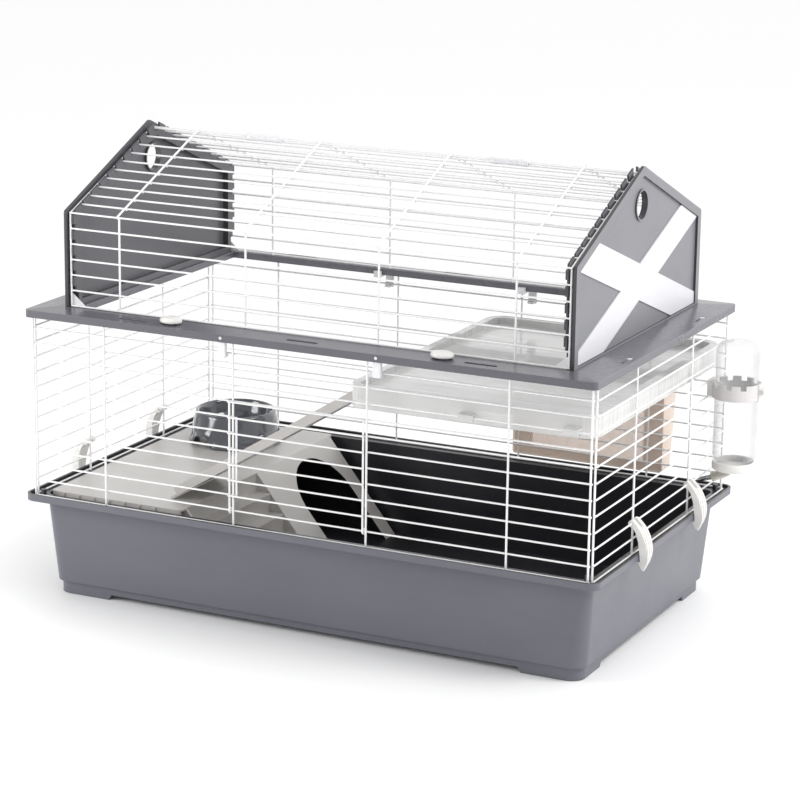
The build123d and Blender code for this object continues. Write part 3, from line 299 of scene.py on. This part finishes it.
# the finish of each CAD node
FINISH = {
    "tub": ["tub"],
    "rail": ["front_rail", "rear_rail", "left_rail", "right_rail"],
    "gable": ["left_gable", "right_gable"],
    "wire": [
        "front_wire_panel",
        "rear_wire_panel",
        "left_wire_panel",
        "right_wire_panel",
        "front_door",
        "front_roof_panel",
        "rear_roof_panel",
    ],
    "white": [
        "front_frame_hooks",
        "rear_frame_hooks",
        "front_roof_corner_plates",
        "rear_roof_corner_plates",
        "ridge_clips",
    ],
    "cream": [
        "left_roof_latch",
        "right_roof_latch",
        "left_front_clip",
        "left_rear_clip",
        "right_front_clip",
        "right_rear_clip",
        "bottle_cap",
        "hay_rack_hooks",
    ],
    "board": ["left_gable_cross", "right_gable_cross"],
    "light": ["hideout"],
    "ramp": ["ramp"],
    "ring": ["bottle_holder"],
    "tray": ["upper_platform"],
    "bowl": ["feed_bowl"],
    "smoky": ["hay_rack"],
    "clear": ["water_bottle"],
    "steel": ["drinking_spout"],
}
for finish, names in FINISH.items():
    for name in names:
        for part_slot in NODES[name].material_slots:
            part_slot.material = MATERIALS[finish]


# ------------------------------------------------------------ piece helpers
MM = 0.001


def finish_piece(name, bm, material, body, replaced=(), flat=False):
    """Turns a bmesh into an object that rides on a body and stands for CAD nodes."""
    bmesh.ops.recalc_face_normals(bm, faces=bm.faces)
    mesh = bpy.data.meshes.new(name)
    bm.to_mesh(mesh)
    bm.free()
    piece = bpy.data.objects.new(name, mesh)
    bpy.context.collection.objects.link(piece)
    mesh.materials.append(MATERIALS[material])
    for face in mesh.polygons:
        face.use_smooth = not flat
    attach(piece, body)
    if replaced:
        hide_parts(*replaced)
    return piece


def turned(profile, centre, segments, warp=None):
    """Closed surface of revolution about Z. profile is (radius, height) in metres, from axis to axis."""
    bm = bmesh.new()
    rings = []
    for radius, height in profile:
        if radius < 1e-6:
            rings.append([bm.verts.new((centre[0], centre[1], height))])
            continue
        ring = []
        for step in range(segments):
            angle = 2 * pi * step / segments
            r, z = warp(angle, radius, height) if warp else (radius, height)
            ring.append(bm.verts.new((centre[0] + r * cos(angle), centre[1] + r * sin(angle), z)))
        rings.append(ring)
    for low, high in zip(rings, rings[1:]):
        for step in range(segments):
            after = (step + 1) % segments
            corners = [low[step % len(low)], low[after % len(low)]]
            corners += [high[after % len(high)], high[step % len(high)]]
            corners = list(dict.fromkeys(corners))
            if len(corners) > 2:
                bm.faces.new(corners)
    return bm


def closed_tube(bm, path, radius, inner, sides=24):
    """Hollow tube with square ends along a list of points."""
    rings = []
    for wall in (radius, inner):
        walls = []
        for index, point in enumerate(path):
            before = path[max(0, index - 1)]
            after = path[min(len(path) - 1, index + 1)]
            along = (after - before).normalized()
            across = along.cross(Vector((0, 1, 0))).normalized()
            other = along.cross(across)
            walls.append(
                [
                    bm.verts.new(
                        point + wall * (cos(2 * pi * k / sides) * across + sin(2 * pi * k / sides) * other)
                    )
                    for k in range(sides)
                ]
            )
        rings.append(walls)
    outer, bore = rings
    for walls in rings:
        for first, second in zip(walls, walls[1:]):
            for k in range(sides):
                n = (k + 1) % sides
                bm.faces.new((first[k], first[n], second[n], second[k]))
    for end in (0, -1):
        for k in range(sides):
            n = (k + 1) % sides
            bm.faces.new((outer[end][k], outer[end][n], bore[end][n], bore[end][k]))


# ---------------------------------------------------------------- feed bowl
bowl_low, bowl_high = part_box("feed_bowl")
bowl_centre = ((bowl_low.x + bowl_high.x) / 2, (bowl_low.y + bowl_high.y) / 2)
BOWL_R = (bowl_high.x - bowl_low.x) / 2
BOWL_ARCH = 17.6 * MM
BOWL_ARCH_SPAN = radians(17.5)
BOWL_ARCH_TURN = radians(-20.0)
BOWL_BAND = 30 * MM
BOWL_SKIN = 13.5 * MM
BOWL_STEPS = 176


def bowl_warp(angle, radius, height):
    """Lifts the lower edge of the bowl's wall into four arches between its feet."""
    level = (height - bowl_low.z) / BOWL_BAND
    if radius < BOWL_R - BOWL_SKIN or level > 1:
        return radius, height
    off = (angle - BOWL_ARCH_TURN + pi / 4) % (pi / 2) - pi / 4
    share = max(0.0, 1 - (off / BOWL_ARCH_SPAN) ** 2) ** 0.5
    arch = BOWL_ARCH * share
    return radius, bowl_low.z + arch + level * (BOWL_BAND - arch)


# radius and height above the foot, in millimetres: floor, foot, outer wall, lip, inner wall, dish
BOWL_PROFILE = [
    (0, 20),
    (44, 20),
    (60, 19.6),
    (64.5, 18.4),
    (66.4, 14),
    (69.4, 7),
    (72.6, 1.4),
    (74.4, 0.1),
    (76, 0.2),
    (77, 1.4),
    (76.8, 3.4),
    (75.4, 6.2),
    (73.6, 10),
    (72.4, 15),
    (71.6, 21),
    (70.4, 29),
    (68.9, 37),
    (67.5, 43),
    (66.6, 47),
    (65.8, 50.3),
    (64.6, 52.3),
    (62.6, 53),
    (60.6, 52.4),
    (59.4, 50.4),
    (57.9, 44),
    (55.8, 36),
    (53.2, 29),
    (49.6, 25),
    (44, 23.6),
    (34, 23.1),
    (0, 23),
]
bowl_points = [(r * MM, bowl_low.z + z * MM) for r, z in BOWL_PROFILE]
bowl_mesh = turned(bowl_points, bowl_centre, BOWL_STEPS, bowl_warp)
finish_piece("feed_bowl_moulding", bowl_mesh, "bowl", "bowl", ["feed_bowl"])

# ------------------------------------------------------- bottle, cap and elbow
bottle_low, bottle_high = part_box("water_bottle")
cap_low, cap_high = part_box("bottle_cap")
bottle_centre = ((bottle_low.x + bottle_high.x) / 2, (bottle_low.y + bottle_high.y) / 2)
BOTTLE_R = (bottle_high.x - bottle_low.x) / 2
BOTTLE_WALL = 1.3 * MM
BOTTLE_STEPS = 96
DOME_DEPTH = 30 * MM
# the outline in millimetres: the shoulder's radius with depth below the top, rings down the
# straight wall, and the waist's radius with height over the cap's top
SHOULDER_DEPTH = 20
SHOULDER = [(12, 0), (20, 0.5), (26, 2.2), (30, 5.2), (32.6, 9.6), (33.8, 15), (34, SHOULDER_DEPTH)]
WALL_STEP = 12
WALL_STEPS = 12
NECK_R = 28.5
WAIST = [(34, 12), (33.8, 8.5), (32.6, 5.4), (30.6, 3), (28.6, 1), (NECK_R, -2)]
bottle_outer = [(r * MM, bottle_high.z - d * MM) for r, d in SHOULDER]
for k in range(1, WALL_STEPS + 1):
    bottle_outer.append((BOTTLE_R, bottle_high.z - (SHOULDER_DEPTH + WALL_STEP * k) * MM))
bottle_outer += [(r * MM, cap_high.z + z * MM) for r, z in WAIST]
bottle_outer.append((NECK_R * MM, bottle_low.z))
bottle_inner = []
for r, z in bottle_outer:
    in_dome = z > bottle_high.z - DOME_DEPTH
    bottle_inner.append((max(0.0, r - BOTTLE_WALL), z - (BOTTLE_WALL if in_dome else 0)))
# down the outside and back up the inside
bottle_profile = [(0, bottle_high.z)] + bottle_outer
bottle_profile += bottle_inner[::-1] + [(0, bottle_high.z - BOTTLE_WALL)]
finish_piece(
    "water_bottle_body",
    turned(bottle_profile, bottle_centre, BOTTLE_STEPS),
    "clear",
    "bottle_set",
    ["water_bottle"],
)

CAP_STEPS = 256
CAP_RIBS = 32
CAP_RIB_DEPTH = 0.5 * MM
CAP_RIB_FROM = 32.9 * MM


def cap_warp(angle, radius, height):
    """Fine finger ribs round the cap."""
    middle = 1 - abs(height - (cap_low.z + cap_high.z) / 2) / ((cap_high.z - cap_low.z) / 2)
    if radius < CAP_RIB_FROM or middle < 0.25:
        return radius, height
    return radius - CAP_RIB_DEPTH * (1 - abs(sin(CAP_RIBS * angle))), height


# radius and height above the cap's base, in millimetres
CAP_PROFILE = [
    (0, 0),
    (20, 0),
    (29, 0.2),
    (31.8, 0.8),
    (33.1, 2.2),
    (33.5, 3.6),
    (33.55, 5.5),
    (33.55, 7.5),
    (33.55, 9.5),
    (33.5, 11.2),
    (33.2, 12.8),
    (32.4, 13.8),
    (30.6, 14),
    (29.4, 13.6),
    (28.95, 12.6),
    (28.95, 3.4),
    (28, 3),
    (0, 3),
]
finish_piece(
    "bottle_cap_moulding",
    turned([(r * MM, cap_low.z + z * MM) for r, z in CAP_PROFILE], bottle_centre, CAP_STEPS, cap_warp),
    "cream",
    "bottle_set",
    ["bottle_cap"],
)

# the clear elbow that leads the spout out of the cap: radius and bore of it and of the collar at its end,
# how far it reaches up into the cap, down below it and aside, and the share of the slanting spout it covers
ELBOW_R, ELBOW_BORE = 7.0 * MM, 4.05 * MM
COLLAR_R, COLLAR_BORE = 7.8 * MM, 4.1 * MM
COLLAR_BEHIND, COLLAR_AHEAD = 3 * MM, 1.5 * MM
ELBOW_TUCK, ELBOW_DROP, ELBOW_LEAN = 0.3 * MM, 7 * MM, 0.6 * MM
ELBOW_SIDES = 32
ELBOW_STEPS = 12
ELBOW_SHARE = 0.42
SPOUT_R = 4 * MM
SPOUT_TIP_INSET = 1.4 * MM
spout_low, spout_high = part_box("drinking_spout")
elbow_x = spout_high.x - SPOUT_R
elbow_y = (spout_low.y + spout_high.y) / 2
elbow_start = Vector((elbow_x, elbow_y, cap_low.z + ELBOW_TUCK))
elbow_corner = Vector((elbow_x - ELBOW_LEAN, elbow_y, cap_low.z - ELBOW_DROP))
spout_end = Vector((spout_low.x + SPOUT_TIP_INSET, elbow_y, spout_low.z + SPOUT_R))
elbow_end = elbow_corner.lerp(spout_end, ELBOW_SHARE)
elbow_path = []
for step in range(ELBOW_STEPS + 1):
    share = step / ELBOW_STEPS
    first = elbow_start.lerp(elbow_corner, share)
    second = elbow_corner.lerp(elbow_end, share)
    elbow_path.append(first.lerp(second, share))
elbow = bmesh.new()
closed_tube(elbow, elbow_path, ELBOW_R, ELBOW_BORE, ELBOW_SIDES)
along = (spout_end - elbow_corner).normalized()
collar_path = [elbow_end - along * COLLAR_BEHIND, elbow_end + along * COLLAR_AHEAD]
closed_tube(elbow, collar_path, COLLAR_R, COLLAR_BORE, ELBOW_SIDES)
finish_piece("spout_elbow", elbow, "elbow", "bottle_set")

# -------------------------------------------------------- welds of the wires
BEAD = 1.55 * MM


def welds(name, body, places, flatten=(1.25, 1.0, 1.25)):
    """Small swollen welds where wires cross."""
    bm = bmesh.new()
    for place in places:
        shape = Matrix.Translation(place) @ Matrix.Diagonal((*flatten, 1.0))
        bmesh.ops.create_icosphere(bm, subdivisions=2, radius=BEAD, matrix=shape)
    finish_piece(name, bm, "wire", body)


def lerp_list(low, high, count):
    """Evenly spaced values from low to high."""
    return [low + (high - low) * k / (count - 1) for k in range(count)]


# places of the wires, in metres: level rows, upright columns and the planes of the panels
PITCH = 0.024
ROW_LOW = 0.160
ROW_COUNT = 13
ROWS = [ROW_LOW + PITCH * k for k in range(ROW_COUNT)]
WELD_GAP = 2.7 * MM
LONG_PLANE = 0.271
SHORT_PLANE = 0.463
OUTER_COLUMN = 0.332
DOORWAY_LEFT, DOORWAY_RIGHT = -0.111, 0.109
REAR_COLUMN = 0.110
SIDE_COLUMN = 0.113
EDGE_INSET = 1.6 * MM
_, front_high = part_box("front_wire_panel")
edge_x = front_high.x - EDGE_INSET
front_columns = [-edge_x, -OUTER_COLUMN, DOORWAY_LEFT, DOORWAY_RIGHT, OUTER_COLUMN, edge_x]
front_places = []
for x in front_columns:
    for z in ROWS:
        front_places.append((x, -LONG_PLANE - WELD_GAP / 2, z))
welds("front_panel_welds", "cage", front_places)
rear_columns = [-edge_x, -OUTER_COLUMN, -REAR_COLUMN, REAR_COLUMN, OUTER_COLUMN, edge_x]
rear_places = [(x, LONG_PLANE + WELD_GAP / 2, z) for x in rear_columns for z in ROWS]
welds("rear_panel_welds", "cage", rear_places)
_, side_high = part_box("left_wire_panel")
side_edge = side_high.y - EDGE_INSET
side_columns = (-side_edge, -SIDE_COLUMN, SIDE_COLUMN, side_edge)
for side, name in ((-1, "left_panel_welds"), (1, "right_panel_welds")):
    places = [(side * (SHORT_PLANE - WELD_GAP / 2), y, z) for y in side_columns for z in ROWS]
    welds(name, "cage", places, (1.0, 1.25, 1.25))
door_low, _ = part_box("front_door")
DOOR_PIVOT_Z = 0.184
DOOR_WIRE_R = 1.4 * MM
DOOR_SIDES = (-0.117, 0.104)
DOOR_INNER_COLUMN = -0.105
door_rows = [DOOR_PIVOT_Z + PITCH * k for k in range(1, 8)]
door_y = door_low.y + DOOR_WIRE_R + WELD_GAP / 2
door_places = [(x, door_y, z) for x in DOOR_SIDES for z in door_rows]
door_places += [(DOOR_INNER_COLUMN, door_y, z) for z in door_rows[:-1]]
welds("door_welds", "door", door_places)
# a roof panel's ridge wire, its eave, its lowest wire and its upright columns, in metres
RIDGE_Y, RIDGE_Z = 0.0045, 0.696
EAVE_Y, EAVE_Z = 0.242, 0.6005
SKIRT_LOW = 0.4578
ROOF_COLUMNS = (-0.324, -0.109, 0.109, 0.324)
SLOPE_WIRES = 11
SKIRT_WIRES = 7
roof_slope = atan2(RIDGE_Z - EAVE_Z, EAVE_Y - RIDGE_Y)
inward = Vector((0, -sin(roof_slope), -cos(roof_slope))) * WELD_GAP / 2
for face, name, body in ((-1, "front_roof_welds", "front_roof"), (1, "rear_roof_welds", "rear_roof")):
    places = []
    for x in ROOF_COLUMNS:
        for share in lerp_list(0, 1, SLOPE_WIRES):
            y = RIDGE_Y + (EAVE_Y - RIDGE_Y) * share
            z = RIDGE_Z + (EAVE_Z - RIDGE_Z) * share
            places.append((x, face * (y + inward.y), z + inward.z))
        for z in lerp_list(SKIRT_LOW, EAVE_Z, SKIRT_WIRES)[:-1]:
            places.append((x, face * (EAVE_Y - WELD_GAP / 2), z))
    welds(name, body, places, (1.25, 1.1, 1.2))

# ----------------------------------------------------------------- hay rack
rack_low, rack_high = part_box("hay_rack")
RACK_SKIN = 2.3 * MM
RACK_FOOT = 22 * MM
RACK_CORNER = 7 * MM
RACK_RIB = 1.1 * MM
RACK_RIBS = 9
RACK_BACK_STEPS = 8
RACK_FACE_STEPS = RACK_RIBS * 8
RACK_SIDE_STEPS = 4
RACK_CORNER_STEPS = 6


def rack_ring(inset, share, z, ribs):
    """Level outline of the rack: back edge, side, rounded corner, ribbed face, corner, side."""
    x0, x1 = rack_low.x + inset, rack_high.x - inset
    back_y = rack_low.y + inset
    face_y = rack_high.y - RACK_FOOT * (1 - share) - inset
    corner = RACK_CORNER - inset
    points = [(x0 + (x1 - x0) * k / RACK_BACK_STEPS, back_y) for k in range(RACK_BACK_STEPS + 1)]
    side_run = face_y - corner - back_y
    points += [(x1, back_y + side_run * k / RACK_SIDE_STEPS) for k in range(1, RACK_SIDE_STEPS + 1)]
    for k in range(1, RACK_CORNER_STEPS):
        angle = pi / 2 * k / RACK_CORNER_STEPS
        points.append((x1 - corner + corner * cos(angle), face_y - corner + corner * sin(angle)))
    for k in range(RACK_FACE_STEPS + 1):
        along = k / RACK_FACE_STEPS
        dip = RACK_RIB * ribs * max(0.0, sin(2 * pi * RACK_RIBS * along - pi / 2)) ** 0.5
        points.append((x1 - corner - (x1 - x0 - 2 * corner) * along, face_y - dip))
    for k in range(1, RACK_CORNER_STEPS):
        angle = pi / 2 + pi / 2 * k / RACK_CORNER_STEPS
        points.append((x0 + corner + corner * cos(angle), face_y - corner + corner * sin(angle)))
    points += [(x0, face_y - corner - side_run * k / RACK_SIDE_STEPS) for k in range(RACK_SIDE_STEPS)]
    return [Vector((x, y, z)) for x, y in points]


rack_mesh = bmesh.new()
rack_rise = rack_high.z - rack_low.z
# share of the height, extra inset and depth of the ribs at each level
RACK_LEVELS = [
    (0.0, 3.0, 0),
    (0.012, 1.0, 0),
    (0.04, 0.3, 0),
    (0.12, 0.3, 0),
    (0.15, 0.3, 1),
    (0.5, 0.3, 1),
    (0.84, 0.3, 1),
    (0.87, 0.3, 0),
    (0.93, 0.3, 0),
    (0.945, 0.0, 0),
    (0.988, 0.0, 0),
    (1.0, 0.8, 0),
]
# the levels between which the back is open, and the share of the height that the floor rounds over
OPEN_FROM, OPEN_TO = 3, 8
FLOOR_SHARE = 0.02
skins = []
for extra in (0.0, RACK_SKIN):
    levels = []
    for share, inset, ribs in RACK_LEVELS:
        z = rack_low.z + rack_rise * share
        if extra and share < FLOOR_SHARE:
            z += RACK_SKIN * (1 - share / FLOOR_SHARE)
        ring = rack_ring(inset * MM + extra, share, z, ribs)
        levels.append([rack_mesh.verts.new(point) for point in ring])
    skins.append(levels)
rack_count = len(skins[0][0])


def rack_cell(level, k):
    """Whether the wall exists between two levels and two points; the back has an opening."""
    if not 0 <= level < len(RACK_LEVELS) - 1:
        return level < 0
    return not (OPEN_FROM <= level < OPEN_TO and 1 <= k % rack_count < RACK_BACK_STEPS - 1)


for level in range(len(RACK_LEVELS) - 1):
    for k in range(rack_count):
        n = (k + 1) % rack_count
        if not rack_cell(level, k):
            continue
        for skin in skins:
            rack_mesh.faces.new((skin[level][k], skin[level][n], skin[level + 1][n], skin[level + 1][k]))
        shell, lining = skins
        edges = (
            (rack_cell(level + 1, k), (level + 1, k), (level + 1, n)),
            (rack_cell(level - 1, k), (level, k), (level, n)),
            (rack_cell(level, k + 1), (level, n), (level + 1, n)),
            (rack_cell(level, k - 1), (level, k), (level + 1, k)),
        )
        for whole, (level_a, a), (level_b, b) in edges:
            if not whole:
                rim = (shell[level_a][a], shell[level_b][b], lining[level_b][b], lining[level_a][a])
                rack_mesh.faces.new(rim)
for skin in skins:
    rack_mesh.faces.new(skin[0])
rack_piece = finish_piece("hay_rack_moulding", rack_mesh, "smoky", "rack", ["hay_rack"])
rack_piece.data.set_sharp_from_angle(angle=radians(40))

# ------------------------------------------------------------- roof latches
# radius and height above the dome's base, in millimetres
LATCH_PROFILE = [
    (0, 0),
    (14.8, 0),
    (16.6, 0.5),
    (17.6, 1.6),
    (18, 3.2),
    (17.7, 5.0),
    (16.5, 6.8),
    (14.4, 8.3),
    (11.6, 9.2),
    (8.6, 9.55),
    (5.0, 9.6),
    (2.0, 9.6),
    (0, 9.6),
]
LATCH_HEIGHT = 9.6 * MM
LATCH_SADDLE = 1.3 * MM
LATCH_GRIP = 5.5 * MM
LATCH_HOLLOW_FROM = 6 * MM
LATCH_STEPS = 96
STEM_STEPS = 32
STEM_R, STEM_TIP_R, STEM_CHAMFER = 3 * MM, 2.6 * MM, 0.8 * MM
STEM_OVERLAP = 0.2 * MM


def latch_warp(angle, radius, height):
    """A thumb hollow along each side of a raised middle ridge."""
    across = abs(radius * sin(angle))
    hollow = 0.0
    if height > latch_low.z + LATCH_HOLLOW_FROM:
        hollow = max(0.0, 1 - abs(across - LATCH_GRIP * 1.25) / LATCH_GRIP)
    return radius, height - LATCH_SADDLE * hollow * hollow * (3 - 2 * hollow)


for side, body in (("left", "left_latch"), ("right", "right_latch")):
    low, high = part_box(side + "_roof_latch")
    latch_low = Vector((0, 0, high.z - LATCH_HEIGHT))
    dome = [(r * MM, latch_low.z + z * MM) for r, z in LATCH_PROFILE]
    knob = turned(dome, (0, 0), LATCH_STEPS, latch_warp)
    stem_top = latch_low.z + STEM_OVERLAP
    pin = [(0, low.z), (STEM_TIP_R, low.z), (STEM_R, low.z + STEM_CHAMFER), (STEM_R, stem_top), (0, stem_top)]
    stem = turned(pin, (0, 0), STEM_STEPS)
    latch_width = (high.y - low.y) / (high.x - low.x)
    for vertex in knob.verts:
        vertex.co.y *= latch_width
    stem_mesh = bpy.data.meshes.new(side + "_stem")
    stem.to_mesh(stem_mesh)
    stem.free()
    knob.from_mesh(stem_mesh)
    bpy.data.meshes.remove(stem_mesh)
    for vertex in knob.verts:
        vertex.co.x += (low.x + high.x) / 2
        vertex.co.y += (low.y + high.y) / 2
    finish_piece(side + "_latch_knob", knob, "cream", body, [side + "_roof_latch"])

# -------------------------------------------------------------- ridge clips
clip_low, clip_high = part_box("ridge_clips")
CLIP_LENGTH = 60 * MM
CLIP_REST = (clip_low.z + clip_high.z) / 2
# half width and half height of the clip's squarish section, in millimetres
CLIP_HALF_Y, CLIP_HALF_Z = 9.35, 5.35
CLIP_SQUARENESS = 4
# middle and half length of each band, as shares of the clip's length
BANDS = ((0.12, 0.1), (0.5, 0.07), (0.88, 0.1))
# how far a band stands out, in millimetres, the share of its length that is level, and its points
BAND_SWELL = 0.5
BAND_LEVEL = 0.8
BAND_STEPS = 40
for side, start in (("left", clip_low.x), ("right", clip_high.x - CLIP_LENGTH)):
    bands = bmesh.new()
    for middle, half in BANDS:
        rings = []
        level = half * BAND_LEVEL
        for offset, swell in ((-half, 0.0), (-level, BAND_SWELL), (level, BAND_SWELL), (half, 0.0)):
            x = start + CLIP_LENGTH * (middle + offset)
            ring = []
            for k in range(BAND_STEPS):
                angle = 2 * pi * k / BAND_STEPS
                powers = abs(cos(angle)) ** CLIP_SQUARENESS + abs(sin(angle)) ** CLIP_SQUARENESS
                shape = powers ** (-1 / CLIP_SQUARENESS)
                y = (CLIP_HALF_Y + swell) * MM * shape * cos(angle)
                z = CLIP_REST + (CLIP_HALF_Z + swell) * MM * shape * sin(angle)
                ring.append(bands.verts.new((x, y, z)))
            rings.append(ring)
        for one, two in zip(rings, rings[1:]):
            for k in range(BAND_STEPS):
                n = (k + 1) % BAND_STEPS
                bands.faces.new((one[k], one[n], two[n], two[k]))
    finish_piece(side + "_ridge_clip_bands", bands, "white", "cage")

# --------------------------------------------------- white pegs in the frame
HOOK_X = 0.127
PEG_Z = 0.448
PEG_R = 2.35 * MM
PEG_INSET = 1.7 * MM
PEG_LENGTH = 2.8 * MM
PEG_SIDES = 24
rail_low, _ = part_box("front_rail")
for face, side in ((-1, "front"), (1, "rear")):
    pegs = bmesh.new()
    for x in (-HOOK_X, HOOK_X):
        middle = Vector((x, face * (-rail_low.y - PEG_INSET), PEG_Z))
        place = Matrix.Translation(middle) @ Matrix.Rotation(pi / 2, 4, "X")
        size = {"radius1": PEG_R, "radius2": PEG_R, "depth": PEG_LENGTH}
        bmesh.ops.create_cone(pegs, cap_ends=True, segments=PEG_SIDES, matrix=place, **size)
    finish_piece(side + "_frame_pegs", pegs, "white", "cage", flat=True)

# white tabs in the square holes of the side rails, in metres
TAB_X, TAB_Y, TAB_SHIFT, TAB_Z = 0.455, 0.148, 0.0158, 0.4505
TAB_SIZE = (0.0068, 0.0062, 0.007)
for side, name in ((-1, "left"), (1, "right")):
    tabs = bmesh.new()
    for y in (-TAB_Y, TAB_Y):
        middle = (side * TAB_X, y + TAB_SHIFT, TAB_Z)
        shape = Matrix.Translation(middle) @ Matrix.Diagonal((*TAB_SIZE, 1))
        bmesh.ops.create_cube(tabs, size=1.0, matrix=shape)
    finish_piece(name + "_frame_tabs", tabs, "white", "cage", flat=True)

# ---------------------------------------------------------- floor and light
FLOOR_SIZE = 80.0
FLOOR_DROP = 0.5 * MM
bpy.ops.mesh.primitive_plane_add(size=FLOOR_SIZE, location=(0, 0, -FLOOR_DROP))
floor = bpy.context.object
floor.name = "studio_floor"
floor_material, _, floor_shader = new_material("pale_floor")
floor_shader.inputs["Base Color"].default_value = (0.97, 0.97, 0.97, 1.0)
floor_shader.inputs["Roughness"].default_value = 0.75
floor.data.materials.append(floor_material)

# soft light from all round: brighter from the right and the rear than from the front
world = bpy.data.worlds.new("studio")
world.use_nodes = True
sky = world.node_tree
toward = add(sky, "SeparateXYZ", {0: add(sky, "TexCoord").outputs["Generated"]}).outputs
SIDE_GAIN, REAR_GAIN = 0.34, 0.3
sideways = math(sky, "MULTIPLY", toward[0], SIDE_GAIN)
rearward = math(sky, "MULTIPLY", toward[1], REAR_GAIN)
strength = math(sky, "ADD", math(sky, "ADD", sideways, rearward), 1.0)
sky.nodes["Background"].inputs["Color"].default_value = (1.0, 1.0, 1.0, 1.0)
sky.links.new(strength, sky.nodes["Background"].inputs["Strength"])
bpy.context.scene.world = world
bpy.context.scene.view_settings.view_transform = "Standard"


def soft_light(name, place, target, size, power):
    """Round area light aimed at a point."""
    data = bpy.data.lights.new(name, "AREA")
    data.shape = "DISK"
    data.size = size
    data.energy = power
    light = bpy.data.objects.new(name, data)
    bpy.context.collection.objects.link(light)
    light.location = place
    light.rotation_euler = (Vector(target) - Vector(place)).to_track_quat("-Z", "Y").to_euler()


soft_light("key", (2.6, 0.1, 2.4), (0, 0, 0.3), 1.2, 40)
soft_light("fill", (-1.5, -1.25, 0.7), (-0.45, -0.25, 0.1), 0.8, 13)
